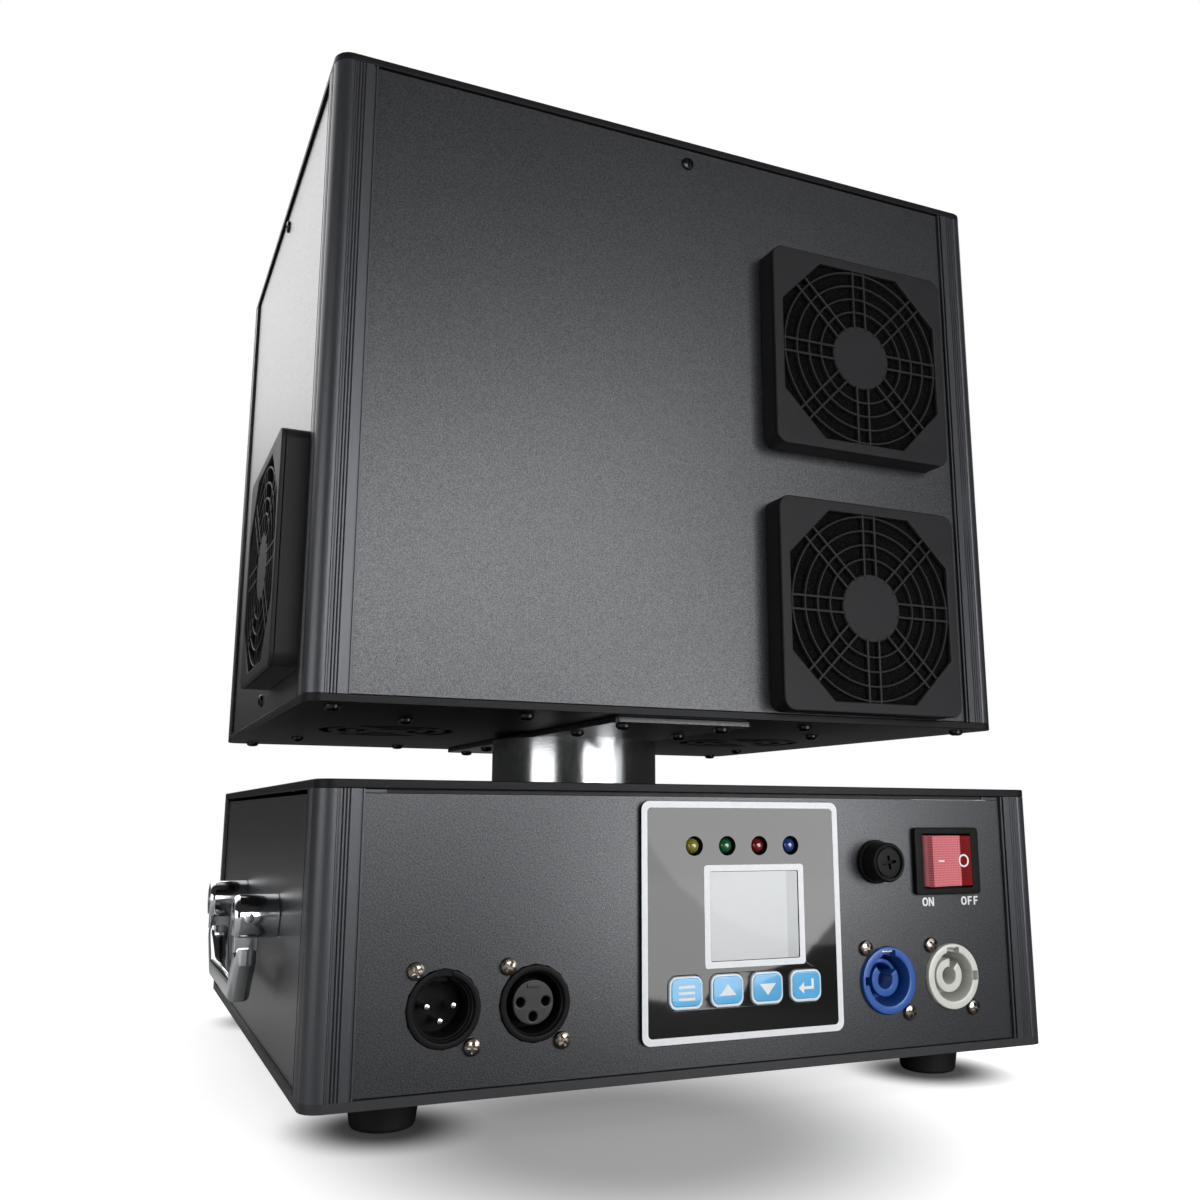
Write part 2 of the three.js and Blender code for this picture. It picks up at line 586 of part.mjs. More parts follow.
// Mains switch: a snap-in bezel and a rocker that tilts on an upright pivot
const BEZEL_WIDTH = 31.4;
const BEZEL_HEIGHT = 25.6;
const BEZEL_THICKNESS = 2;
const BEZEL_ROUND = 1.2;
const SWITCH_BODY_WIDTH = 28;
const SWITCH_BODY_HEIGHT = 22;
const SWITCH_BODY_DEPTH = 26;
const ROCKER_WIDTH = 22.4;
const ROCKER_HEIGHT = 19.4;
const ROCKER_DEPTH = 9;
const ROCKER_PIVOT_DEPTH = 4;
const ROCKER_TILT = 9;
const ROCKER_GAP = 0.6;
const ROCKER_SWING = 1.4;
const ROCKER_WELL = 14;
const PIVOT_RADIUS = 1.5;
const PIVOT_REACH = 1.4;

function switchBezel() {
  const rim = pushed(roundedRectangle(BEZEL_WIDTH, BEZEL_HEIGHT, BEZEL_ROUND), BEZEL_THICKNESS, 0, 0, CLEARANCE);
  const bodyTop = CLEARANCE + OVERRUN;
  const body = block(SWITCH_BODY_WIDTH, SWITCH_BODY_HEIGHT, SWITCH_BODY_DEPTH + bodyTop, 0, 0, -SWITCH_BODY_DEPTH);
  const wellWidth = ROCKER_WIDTH + 2 * ROCKER_SWING;
  const wellHeight = ROCKER_HEIGHT + 2 * ROCKER_GAP;
  const wellDepth = ROCKER_WELL + BEZEL_THICKNESS + OVERRUN;
  const well = block(wellWidth, wellHeight, wellDepth, 0, 0, -ROCKER_WELL);
  const socketLength = ROCKER_HEIGHT + 2 * PIVOT_REACH + 2 * CLEARANCE;
  const pivot = bar(PIVOT_RADIUS + CLEARANCE, socketLength, 0, 0, -socketLength / 2, SMALL_SIDES);
  const pivotHole = pivot.rotate([90, 0, 0]).translate(0, 0, -ROCKER_PIVOT_DEPTH);
  return rim.add(body).subtract(well).subtract(pivotHole);
}

// The rocker's face is two flats that meet in a shallow valley, and it is built about its own pivot
function rockerSolid() {
  const slope = Math.tan((ROCKER_TILT * Math.PI) / 180);
  const half = ROCKER_WIDTH / 2;
  const valley = ROCKER_PIVOT_DEPTH + BEZEL_THICKNESS;
  const heel = valley - ROCKER_DEPTH;
  const outline = new THREE.Shape([
    new THREE.Vector2(-half, heel + half * slope),
    new THREE.Vector2(0, heel),
    new THREE.Vector2(half, heel + half * slope),
    new THREE.Vector2(half, valley + half * slope),
    new THREE.Vector2(0, valley),
    new THREE.Vector2(-half, valley + half * slope),
  ]);
  const upright = pushed(outline, ROCKER_HEIGHT, 0, 0, -ROCKER_HEIGHT / 2);
  const pinLength = ROCKER_HEIGHT + 2 * PIVOT_REACH;
  return upright.add(bar(PIVOT_RADIUS, pinLength, 0, 0, -pinLength / 2, SMALL_SIDES)).rotate([90, 0, 0]);
}
place("switch_bezel", switchBezel(), blackPlastic, baseFrontSide, switchX, switchLevel);
const rocker = place("switch_rocker", rockerSolid(), redPlastic, baseFrontSide, switchX, switchLevel);
rocker.position.z = -ROCKER_PIVOT_DEPTH;
rocker.rotation.y = (ROCKER_TILT * Math.PI) / 180;

// Display: a glossy fascia with the screen block and lamps behind it, and four push buttons
const FASCIA_ROUND = 2.5;
const FASCIA_THICKNESS = 1.4;
const SCREEN_X = 4.4;
const SCREEN_WIDTH = 41;
const SCREEN_ABOVE = 22.6;
const SCREEN_BELOW = 24.4;
const SCREEN_SINK = 0.5;
const LAMP_DROP = 15.7;
const LAMP_PITCH = 13.4;
const LAMP_RADIUS = 2.8;
const LAMP_HOLE_RADIUS = 3.4;
const LAMP_SINK = 0.2;
const BUTTON_PITCH = 16.3;
const BUTTON_RISE = 16.7;
const BUTTON_WIDTH = 13.1;
const BUTTON_HEIGHT = 11.1;
const BUTTON_ROUND = 3;
const BUTTON_PROUD = 1.3;
const BUTTON_TRAVEL = 1.2;
const BUTTON_SKIRT = 3;
const BUTTON_STEM_RADIUS = 2.2;
const BUTTON_COUNT = 4;
const MODULE_INSET = 5;
const MODULE_THICKNESS = 1.6;
const MODULE_GAP = 6;
const CUTOUT_INSET = 4;

const screenHeight = fasciaHeight - SCREEN_ABOVE - SCREEN_BELOW;
const screenZ = (SCREEN_BELOW - SCREEN_ABOVE) / 2;
const lampZ = fasciaHeight / 2 - LAMP_DROP;
const buttonZ = BUTTON_RISE - fasciaHeight / 2;
const FASCIA_FACE = CLEARANCE + FASCIA_THICKNESS;
const MODULE_FACE = -PANEL_THICKNESS - MODULE_GAP;
const buttonPlaces = [...Array(BUTTON_COUNT).keys()].map((i) => (i - (BUTTON_COUNT - 1) / 2) * BUTTON_PITCH);
const lampPlaces = [...Array(BUTTON_COUNT).keys()].map((i) => (i - (BUTTON_COUNT - 1) / 2) * LAMP_PITCH);

// The fascia carries the screen, the lamps and the circuit board on four spacers as one unit
function displayUnit() {
  const outline = roundedRectangle(FASCIA_WIDTH, fasciaHeight, FASCIA_ROUND);
  let made = pushed(outline, FASCIA_THICKNESS, 0, 0, CLEARANCE);
  const throughDepth = FASCIA_THICKNESS + 2 * OVERRUN;
  const holeWidth = BUTTON_WIDTH + 2 * CLEARANCE;
  const holeHeight = BUTTON_HEIGHT + 2 * CLEARANCE;
  for (const x of buttonPlaces) {
    const hole = roundedRectangle(holeWidth, holeHeight, BUTTON_ROUND + CLEARANCE);
    made = made.subtract(pushed(hole, throughDepth, x, buttonZ, CLEARANCE - OVERRUN, 1));
  }
  const screenTop = FASCIA_FACE - SCREEN_SINK;
  const window = block(SCREEN_WIDTH, screenHeight, SCREEN_SINK + OVERRUN, SCREEN_X, screenZ, screenTop);
  made = made.subtract(window);
  const backLength = screenTop - MODULE_FACE - FASCIA_THICKNESS / 2;
  made = made.add(block(SCREEN_WIDTH, screenHeight, backLength, SCREEN_X, screenZ, MODULE_FACE));
  const lampLength = FASCIA_FACE - LAMP_SINK - MODULE_FACE;
  for (const x of lampPlaces) {
    made = made.subtract(bar(LAMP_HOLE_RADIUS, throughDepth, x, lampZ, CLEARANCE - OVERRUN, SMALL_SIDES));
    made = made.add(bar(LAMP_RADIUS, lampLength, x, lampZ, MODULE_FACE, SMALL_SIDES));
  }
  const boardBottom = MODULE_FACE - MODULE_THICKNESS;
  const moduleWidth = FASCIA_WIDTH - 2 * MODULE_INSET;
  const moduleHeight = fasciaHeight - 2 * MODULE_INSET;
  return made.add(block(moduleWidth, moduleHeight, MODULE_THICKNESS, 0, 0, boardBottom));
}
const displayLevel = BASE_BOTTOM + displayZ;
place("display_unit", displayUnit(), glossyBlack, baseFrontSide, displayX, displayLevel);

// A button's cap stands proud of the fascia, and its stem ends just above the switch on the board
function buttonSolid() {
  const cap = roundedRectangle(BUTTON_WIDTH, BUTTON_HEIGHT, BUTTON_ROUND);
  const capBottom = FASCIA_FACE - BUTTON_SKIRT;
  const made = pushed(cap, BUTTON_SKIRT + BUTTON_PROUD, 0, 0, capBottom, 1);
  const stemBottom = MODULE_FACE + BUTTON_TRAVEL + CLEARANCE;
  return made.add(bar(BUTTON_STEM_RADIUS, capBottom - stemBottom + OVERRUN, 0, 0, stemBottom, SMALL_SIDES));
}
const BUTTON_NAMES = ["menu", "up", "down", "enter"];
BUTTON_NAMES.forEach((name, i) => {
  const x = displayX + buttonPlaces[i];
  place(`button_${name}`, buttonSolid(), paleBlue, baseFrontSide, x, displayLevel + buttonZ);
});

// Front panel of the base, cut out for what is mounted in it
function baseFrontPanel() {
  const cutDepth = PANEL_THICKNESS + 2 * OVERRUN;
  const cutBottom = -PANEL_THICKNESS - OVERRUN;
  let made = basePanel(BASE_WIDTH);
  for (const x of [dataInX, dataOutX, powerInX, powerOutX]) {
    made = made.subtract(bar(SOCKET_HOLE_RADIUS, cutDepth, x, toPanel(SOCKET_Z), cutBottom, SOCKET_SIDES));
  }
  made = made.subtract(bar(FUSE_BODY_RADIUS + CLEARANCE, cutDepth, fuseX, toPanel(switchZ), cutBottom, FUSE_SIDES));
  const switchWidth = SWITCH_BODY_WIDTH + 2 * CLEARANCE;
  const switchHeight = SWITCH_BODY_HEIGHT + 2 * CLEARANCE;
  made = made.subtract(block(switchWidth, switchHeight, cutDepth, switchX, toPanel(switchZ), cutBottom));
  const cutWidth = FASCIA_WIDTH - 2 * CUTOUT_INSET;
  const cutHeight = fasciaHeight - 2 * CUTOUT_INSET;
  const display = block(cutWidth, cutHeight, cutDepth, displayX, toPanel(displayZ), cutBottom);
  return made.subtract(display);
}
place("base_front_panel", baseFrontPanel(), powderCoat, baseFrontSide, 0, BASE_PANEL_LEVEL);
place("base_back_panel", basePanel(BASE_WIDTH), powderCoat, baseBackSide, 0, BASE_PANEL_LEVEL);
place("base_left_panel", basePanel(BASE_DEPTH), powderCoat, baseLeftSide, 0, BASE_PANEL_LEVEL);
place("base_right_panel", basePanel(BASE_DEPTH), powderCoat, baseRightSide, 0, BASE_PANEL_LEVEL);

// Drop handles: two round lugs and a bail that hangs between them on short pins
const LUG_RADIUS = 7.8;
const LUG_LENGTH = 15.4;
const LUG_SPACING = 96;
const HANDLE_Z = 52;
const HANDLE_Y = -18;
const HANDLE_PIVOT_OUT = 10.8;
const HANDLE_PIN_RADIUS = 1.5;
const EYE_RADIUS = 4.6;
const EYE_THICKNESS = 5;
const EYE_NECK = 11;
const BAIL_SECTION = 8;
const BAIL_CHAMFER = 2.2;
const BAIL_DROP = 27;
const BAIL_CORNER = 12;
const LUG_SIDES = 12;

// A lug in the side's own frame: x along the base, y up, z outwards
function lugSolid() {
  const slotWidth = EYE_THICKNESS + 2 * CLEARANCE;
  const slotReach = EYE_RADIUS + CLEARANCE;
  const slotLow = HANDLE_PIVOT_OUT - slotReach;
  const slotLength = LUG_LENGTH + CLEARANCE - slotLow + OVERRUN;
  const slotHeight = LUG_RADIUS + slotReach + OVERRUN;
  const slot = block(slotWidth, slotHeight, slotLength, 0, slotReach - slotHeight / 2, slotLow);
  const pin = bar(HANDLE_PIN_RADIUS, slotWidth + 2 * OVERRUN, 0, 0, -slotWidth / 2 - OVERRUN, SMALL_SIDES);
  const pinAcross = pin.rotate([0, 90, 0]).translate(0, 0, HANDLE_PIVOT_OUT);
  return bar(LUG_RADIUS, LUG_LENGTH, 0, 0, CLEARANCE, LUG_SIDES).subtract(slot).add(pinAcross);
}

// The bail, hanging: eyes at the pivot, then legs, slanted corners and the grip in one chamfered band
function bailSolid() {
  const half = LUG_SPACING / 2;
  const edge = (distance) => [
    [-half - distance, -EYE_NECK],
    [-half - distance, -BAIL_DROP + BAIL_CORNER - distance * Math.tan(QUARTER / 4)],
    [-half + BAIL_CORNER - distance * Math.tan(QUARTER / 4), -BAIL_DROP - distance],
    [half - BAIL_CORNER + distance * Math.tan(QUARTER / 4), -BAIL_DROP - distance],
    [half + distance, -BAIL_DROP + BAIL_CORNER - distance * Math.tan(QUARTER / 4)],
    [half + distance, -EYE_NECK],
  ];
  const reach = BAIL_SECTION / 2 - BAIL_CHAMFER;
  const outline = [...edge(reach), ...edge(-reach).reverse()].map(([x, y]) => new THREE.Vector2(x, y));
  const bevel = { bevelEnabled: true, bevelSize: BAIL_CHAMFER, bevelThickness: BAIL_CHAMFER, bevelSegments: 1 };
  const band = new THREE.ExtrudeGeometry(new THREE.Shape(outline), { depth: 2 * reach, ...bevel });
  let made = solid(band.translate(0, 0, -reach));
  for (const side of [-1, 1]) {
    const neck = block(EYE_THICKNESS, EYE_NECK + OVERRUN, 2 * EYE_RADIUS, 0, 0, -EYE_RADIUS);
    const eye = bar(EYE_RADIUS, EYE_THICKNESS, 0, 0, -EYE_THICKNESS / 2, SMALL_SIDES).rotate([0, 90, 0]);
    const bore = bar(HANDLE_PIN_RADIUS + CLEARANCE, 2 * EYE_THICKNESS, 0, 0, -EYE_THICKNESS, SMALL_SIDES).rotate([0, 90, 0]);
    const link = neck.translate(0, -(EYE_NECK + OVERRUN) / 2, 0).add(eye).subtract(bore);
    made = made.add(link.translate(side * half, 0, 0));
  }
  return made;
}

// On the left side x runs towards the front, on the right side towards the back
for (const [side, group, forward] of [
  ["left", baseLeftSide, 1],
  ["right", baseRightSide, -1],
]) {
  const middle = -forward * HANDLE_Y;
  const level = BASE_BOTTOM + HANDLE_Z;
  place(`handle_lug_${side}_front`, lugSolid(), chrome, group, middle + (forward * LUG_SPACING) / 2, level);
  place(`handle_lug_${side}_back`, lugSolid(), chrome, group, middle - (forward * LUG_SPACING) / 2, level);
  place(`handle_bail_${side}`, bailSolid(), chrome, group, middle, level, HANDLE_PIVOT_OUT);
}

// Pan drive: a stepper motor on the base floor turns the tube through a flat belt
const MOTOR_SIZE = 42.3;
const MOTOR_ROUND = 4;
const MOTOR_X = -72;
const MOTOR_Y = 72;
const MOTOR_SHAFT_RADIUS = 4;
const MOTOR_SHAFT_SINK = 6;
const MOTOR_PULLEY_RADIUS = 15;
const BELT_THICKNESS = 1.5;
const BELT_GAP = 0.5;
const MOTOR_SHAFT_SHOWN = 8;
const MOTOR_TOP = PULLEY_BOTTOM - MOTOR_SHAFT_SHOWN;
const MOTOR_HEIGHT = MOTOR_TOP - BASE_FLOOR;

const motorBody = pushed(roundedRectangle(MOTOR_SIZE, MOTOR_SIZE, MOTOR_ROUND), MOTOR_HEIGHT);
const shaftHole = bar(
  MOTOR_SHAFT_RADIUS + 2 * CLEARANCE,
  MOTOR_SHAFT_SINK + OVERRUN,
  0,
  0,
  MOTOR_HEIGHT - MOTOR_SHAFT_SINK,
);
place("pan_motor", motorBody.subtract(shaftHole), castSteel, base, MOTOR_X, MOTOR_Y, BASE_FLOOR);

const shaftBottom = MOTOR_TOP - MOTOR_SHAFT_SINK + CLEARANCE;
const motorPulley = turned([
  [0, shaftBottom],
  [MOTOR_SHAFT_RADIUS, shaftBottom],
  [MOTOR_SHAFT_RADIUS, PULLEY_BOTTOM],
  [MOTOR_PULLEY_RADIUS, PULLEY_BOTTOM],
  [MOTOR_PULLEY_RADIUS, PULLEY_TOP],
  [0, PULLEY_TOP],
]);
place("motor_pulley", motorPulley, castSteel, base, MOTOR_X, MOTOR_Y);

// The belt's outline at some distance off both pulleys: two arcs joined by their tangents
function beltOutline(offset) {
  const span = Math.hypot(MOTOR_X, MOTOR_Y);
  const heading = Math.atan2(MOTOR_Y, MOTOR_X);
  const lean = Math.acos((PULLEY_RADIUS - MOTOR_PULLEY_RADIUS) / span);
  const shape = new THREE.Shape();
  shape.absarc(0, 0, PULLEY_RADIUS + offset, heading + lean, heading - lean + 4 * QUARTER);
  shape.absarc(MOTOR_X, MOTOR_Y, MOTOR_PULLEY_RADIUS + offset, heading - lean, heading + lean);
  shape.closePath();
  return shape;
}
const BELT_SEGMENTS = 16;
const beltLevel = PULLEY_BOTTOM + (PULLEY_HEIGHT - BELT_WIDTH) / 2;
const beltOuter = pushed(beltOutline(BELT_GAP + BELT_THICKNESS), BELT_WIDTH, 0, 0, beltLevel, BELT_SEGMENTS);
const beltInnerHeight = BELT_WIDTH + 2 * OVERRUN;
const beltInner = pushed(beltOutline(BELT_GAP), beltInnerHeight, 0, 0, beltLevel - OVERRUN, BELT_SEGMENTS);
place("pan_belt", beltOuter.subtract(beltInner), rubber, base);

// Fans: frame and spider behind the panel, a turning rotor, and a clip-on filter guard in front
const FAN_SIZE = 80;
const FAN_THICKNESS = 25;
const FAN_BORE_RADIUS = 37.5;
const FAN_EDGE = 2;
const FAN_HUB_RADIUS = 15;
const FAN_SPIDER = 3;
const FAN_SPOKE_WIDTH = 4;
const ROTOR_RADIUS = 36;
const ROTOR_HUB_RADIUS = 14;
const ROTOR_THICKNESS = 18;
const BLADE_COUNT = 7;
const BLADE_THICKNESS = 1.6;
const BLADE_PITCH = 35;
const AXLE_RADIUS = 2.5;
const AXLE_LENGTH = 2.6;
const FAN_SIDES = 16;

// Places of the fans, from the edges and the underside of the head
const FRONT_FAN_INSET = 69.8;
const LOWER_FAN_Z = 47.1;
const FAN_SPACING = 109.4;
const SIDE_FAN_INSET = 60.35;
const SIDE_FAN_Z = 57;
const frontFanX = HEAD_WIDTH / 2 - FRONT_FAN_INSET;
const upperFanZ = LOWER_FAN_Z + FAN_SPACING;
const sideFanX = HEAD_DEPTH / 2 - SIDE_FAN_INSET;

// A fan's frame, with its spider at the back, joined to the panel that carries it
function fanFrame() {
  const top = -PANEL_THICKNESS / 2;
  const bottom = -PANEL_THICKNESS - FAN_THICKNESS;
  const tunnel = bar(FAN_BORE_RADIUS, FAN_THICKNESS + PANEL_THICKNESS, 0, 0, bottom + FAN_SPIDER, FAN_SIDES);
  const frame = block(FAN_SIZE, FAN_SIZE, top - bottom, 0, 0, bottom);
  const openBack = bar(FAN_BORE_RADIUS, FAN_SPIDER + 2 * OVERRUN, 0, 0, bottom - OVERRUN, FAN_SIDES);
  const hub = bar(FAN_HUB_RADIUS, FAN_SPIDER, 0, 0, bottom, FAN_SIDES);
  const across = block(FAN_SIZE - FAN_EDGE, FAN_SPOKE_WIDTH, FAN_SPIDER, 0, 0, bottom);
  const upright = block(FAN_SPOKE_WIDTH, FAN_SIZE - FAN_EDGE, FAN_SPIDER, 0, 0, bottom);
  const socketDepth = AXLE_LENGTH - CLEARANCE;
  const axleHole = bar(AXLE_RADIUS + CLEARANCE, socketDepth + OVERRUN, 0, 0, bottom + FAN_SPIDER - socketDepth, SMALL_SIDES);
  const spider = hub.add(across).add(upright).subtract(axleHole);
  return frame.subtract(tunnel).subtract(openBack).add(spider);
}

// A fan's rotor: hub, pitched blades and the axle that runs in the spider
function fanRotor() {
  const bottom = -PANEL_THICKNESS - FAN_THICKNESS + FAN_SPIDER + CLEARANCE;
  let made = bar(ROTOR_HUB_RADIUS, ROTOR_THICKNESS, 0, 0, bottom, FAN_SIDES);
  const reach = ROTOR_RADIUS - ROTOR_HUB_RADIUS / 2;
  const bladeHeight = ROTOR_THICKNESS - 2 * CLEARANCE;
  const blade = block(reach, BLADE_THICKNESS, bladeHeight, ROTOR_HUB_RADIUS / 2 + reach / 2, 0, -bladeHeight / 2);
  const pitched = blade.rotate([BLADE_PITCH, 0, 0]).translate(0, 0, bottom + ROTOR_THICKNESS / 2);
  for (let i = 0; i < BLADE_COUNT; i++) {
    made = made.add(pitched.rotate([0, 0, (i * 360) / BLADE_COUNT]));
  }
  const axleLength = AXLE_LENGTH - CLEARANCE;
  return made.add(bar(AXLE_RADIUS, axleLength, 0, 0, bottom - axleLength + CLEARANCE, SMALL_SIDES));
}

// Filter guard: rounded frame, an opening with cut corners, rings and ribs over a foam pad
const GUARD_SIZE = 87.2;
const GUARD_THICKNESS = 10.8;
const GUARD_ROUND = 5;
const GUARD_WALL = 2;
const GUARD_OPENING = 78.2;
const GUARD_OPENING_CUT = 19.3;
const GUARD_FACE = 2.4;
const GUARD_HUB_RADIUS = 14.2;
const GUARD_RINGS = [20.5, 26.5, 32.5, 38.5];
const GUARD_RING_WIDTH = 1.1;
const GUARD_RIB_WIDTH = 2.2;
const GUARD_RIB_DIRECTIONS = 4;
const GUARD_RIB_HEIGHT = 1.8;
const GUARD_SIDES = 16;

// The opening is a square with its corners cut off
function guardOpening(size, cut) {
  const half = size / 2;
  const points = [
    [half - cut, half],
    [-half + cut, half],
    [-half, half - cut],
    [-half, -half + cut],
    [-half + cut, -half],
    [half - cut, -half],
    [half, -half + cut],
    [half, half - cut],
  ];
  return new THREE.Shape(points.map(([x, y]) => new THREE.Vector2(x, y)));
}
function guardRing(radius, top) {
  const inner = radius - GUARD_RING_WIDTH / 2;
  const outer = radius + GUARD_RING_WIDTH / 2;
  const low = top - GUARD_RIB_HEIGHT;
  return turned(
    [
      [inner, low],
      [outer, low],
      [outer, top],
      [inner, top],
    ],
    GUARD_SIDES,
  );
}
function filterGuard() {
  const top = CLEARANCE + GUARD_THICKNESS;
  const ribTop = top - CLEARANCE;
  const outline = roundedRectangle(GUARD_SIZE, GUARD_SIZE, GUARD_ROUND);
  const inside = roundedRectangle(GUARD_SIZE - 2 * GUARD_WALL, GUARD_SIZE - 2 * GUARD_WALL, GUARD_ROUND - GUARD_WALL);
  const shellDepth = GUARD_THICKNESS - GUARD_FACE + OVERRUN;
  const cap = pushed(outline, GUARD_THICKNESS, 0, 0, CLEARANCE).subtract(
    pushed(inside, shellDepth, 0, 0, CLEARANCE - OVERRUN),
  );
  const openingCut = pushed(guardOpening(GUARD_OPENING, GUARD_OPENING_CUT), GUARD_THICKNESS, 0, 0, OVERRUN + CLEARANCE);
  let made = cap.subtract(openingCut);
  let grille = bar(GUARD_HUB_RADIUS, GUARD_RIB_HEIGHT, 0, 0, ribTop - GUARD_RIB_HEIGHT, GUARD_SIDES);
  for (const radius of GUARD_RINGS) grille = grille.add(guardRing(radius, ribTop));
  const reach = GUARD_OPENING * Math.SQRT2;
  const rib = block(reach, GUARD_RIB_WIDTH, GUARD_RIB_HEIGHT, 0, 0, ribTop - GUARD_RIB_HEIGHT);
  for (let i = 0; i < GUARD_RIB_DIRECTIONS; i++) {
    grille = grille.add(rib.rotate([0, 0, (i * 180) / GUARD_RIB_DIRECTIONS]));
  }
  const window = guardOpening(GUARD_OPENING + GUARD_WALL, GUARD_OPENING_CUT);
  grille = grille.intersect(pushed(window, GUARD_THICKNESS, 0, 0, CLEARANCE));
  made = made.add(grille);
  const foamTop = ribTop - GUARD_RIB_HEIGHT + CLEARANCE;
  const foamSize = GUARD_SIZE - GUARD_WALL;
  const foamBottom = CLEARANCE + GUARD_WALL;
  const foam = block(foamSize, foamSize, foamTop - foamBottom, 0, 0, foamBottom);
  return made.add(foam);
}

// The fans that a head panel carries, as places on that panel
const frontFans = [
  ["front_upper", frontFanX, upperFanZ],
  ["front_lower", frontFanX, LOWER_FAN_Z],
];
const sideFans = [["left_side", sideFanX, SIDE_FAN_Z]];

// A head panel with its fan openings and fan frames
const HEAD_PANEL_HEIGHT = HEAD_INSIDE - 2 * PANEL_SEAT;
const HEAD_PANEL_LEVEL = HEAD_FLOOR + PANEL_SEAT;
function headPanel(boxWidth, fans) {
  let made = panelSheet(boxWidth, HEAD_PANEL_HEIGHT);
  for (const [, x, z] of fans) {
    const y = toPanel(z);
    const hole = bar(FAN_BORE_RADIUS, PANEL_THICKNESS + 2 * OVERRUN, x, y, -PANEL_THICKNESS - OVERRUN, FAN_SIDES);
    made = made.subtract(hole).add(fanFrame().translate(x, y, 0));
  }
  return made;
}
place("head_front_panel", headPanel(HEAD_WIDTH, frontFans), powderCoat, headFrontSide, 0, HEAD_PANEL_LEVEL);
place("head_left_panel", headPanel(HEAD_DEPTH, sideFans), powderCoat, headLeftSide, 0, HEAD_PANEL_LEVEL);
place("head_back_panel", headPanel(HEAD_WIDTH, []), powderCoat, headBackSide, 0, HEAD_PANEL_LEVEL);
place("head_right_panel", headPanel(HEAD_DEPTH, []), powderCoat, headRightSide, 0, HEAD_PANEL_LEVEL);
for (const [group, fans] of [
  [headFrontSide, frontFans],
  [headLeftSide, sideFans],
]) {
  for (const [name, x, z] of fans) {
    place(`fan_rotor_${name}`, fanRotor(), blackPlastic, group, x, HEAD_BOTTOM + z);
    place(`fan_guard_${name}`, filterGuard(), blackPlastic, group, x, HEAD_BOTTOM + z);
  }
}

// Head plates: the floor has two round fields of curved air slots, the top has holes for nozzles and fillers
const VENT_X = 91;
const VENT_SLOT_WIDTH = 4;
const VENT_RADII = [12, 20, 28];
const VENT_BRIDGE = 7;
const VENT_SLOT_SEGMENTS = 2;
const UNIT_X = 62;
const UNIT_Y = -14;
const NOZZLE_RADIUS = 17;
const NOZZLE_COLLAR_RADIUS = 22;
const NOZZLE_COLLAR_HEIGHT = 4;
const NOZZLE_BORE = 11;
const NOZZLE_BORE_DEPTH = 60;
const FILLER_OFFSET = 62;
const FILLER_RADIUS = 15;
const FILLER_BORE = 12;
const FILLER_NECK = 5;

function headPlate() {
  return pushed(roundedRectangle(HEAD_WIDTH, HEAD_DEPTH, POST_ROUND), PLATE_THICKNESS);
}
// One curved slot: a quarter of a ring, shortened at both ends by half a bridge
function ventSlot(radius) {
  const spread = QUARTER / 2 - VENT_BRIDGE / (2 * radius);
  const points = [];
  for (const [edge, way] of [
    [radius + VENT_SLOT_WIDTH / 2, 1],
    [radius - VENT_SLOT_WIDTH / 2, -1],
  ]) {
    for (let i = 0; i <= VENT_SLOT_SEGMENTS; i++) {
      const angle = way * spread * ((2 * i) / VENT_SLOT_SEGMENTS - 1);
      points.push(new THREE.Vector2(edge * Math.cos(angle), edge * Math.sin(angle)));
    }
  }
  return new THREE.Shape(points);
}
function headFloor() {
  const cut = PLATE_THICKNESS + 2 * OVERRUN;
  let made = headPlate().subtract(bar(SWIVEL_CABLE_RADIUS, cut, 0, 0, -OVERRUN));
  for (const radius of VENT_RADII) {
    const slot = pushed(ventSlot(radius), cut, 0, 0, -OVERRUN);
    for (let i = 0; i < CORNER_SIGNS.length; i++) {
      const turnedSlot = slot.rotate([0, 0, (i * 360) / CORNER_SIGNS.length]);
      made = made.subtract(turnedSlot.translate(-VENT_X, 0, 0)).subtract(turnedSlot.translate(VENT_X, 0, 0));
    }
  }
  return made;
}
function headRoof() {
  const cut = PLATE_THICKNESS + 2 * OVERRUN;
  let made = headPlate();
  for (const side of [-1, 1]) {
    made = made.subtract(bar(NOZZLE_RADIUS + 2 * CLEARANCE, cut, side * UNIT_X, UNIT_Y, -OVERRUN));
    made = made.subtract(bar(FILLER_RADIUS + 2 * CLEARANCE, cut, side * UNIT_X, UNIT_Y + FILLER_OFFSET, -OVERRUN));
  }
  return made;
}
place("head_bottom_plate", headFloor(), powderCoat, head, 0, 0, HEAD_BOTTOM);
place("head_top_plate", headRoof(), powderCoat, head, 0, 0, HEAD_TOP - PLATE_THICKNESS);

// Spark unit: heating barrel with its nozzle, hopper with its filler neck, feed trough and feed motor
const STAND_WIDTH = 56;
const STAND_DEPTH = 120;
const STAND_HEIGHT = 16;
const BARREL_RADIUS = 27;
const BARREL_HEIGHT = 150;
const HOPPER_WIDTH = 58;
const HOPPER_DEPTH = 52;
const HOPPER_ROOF_GAP = 37;
const HOPPER_FUNNEL = 34;
const HOPPER_THROAT = 24;
const TROUGH_SIZE = 26;
const TROUGH_LEVEL = 62;
const SCREW_RADIUS = 7;
const SCREW_CORE = 3.4;
const SCREW_LENGTH = 54;
const SCREW_PITCH = 11;
const SCREW_START = 14;
const FEED_MOTOR_RADIUS = 16;
const FEED_MOTOR_LENGTH = 26;
const FEED_SHAFT_SINK = 5;

const unitHeight = HEAD_INSIDE;
const feedAxis = STAND_HEIGHT + TROUGH_LEVEL;
const screwEnd = SCREW_START + SCREW_LENGTH;

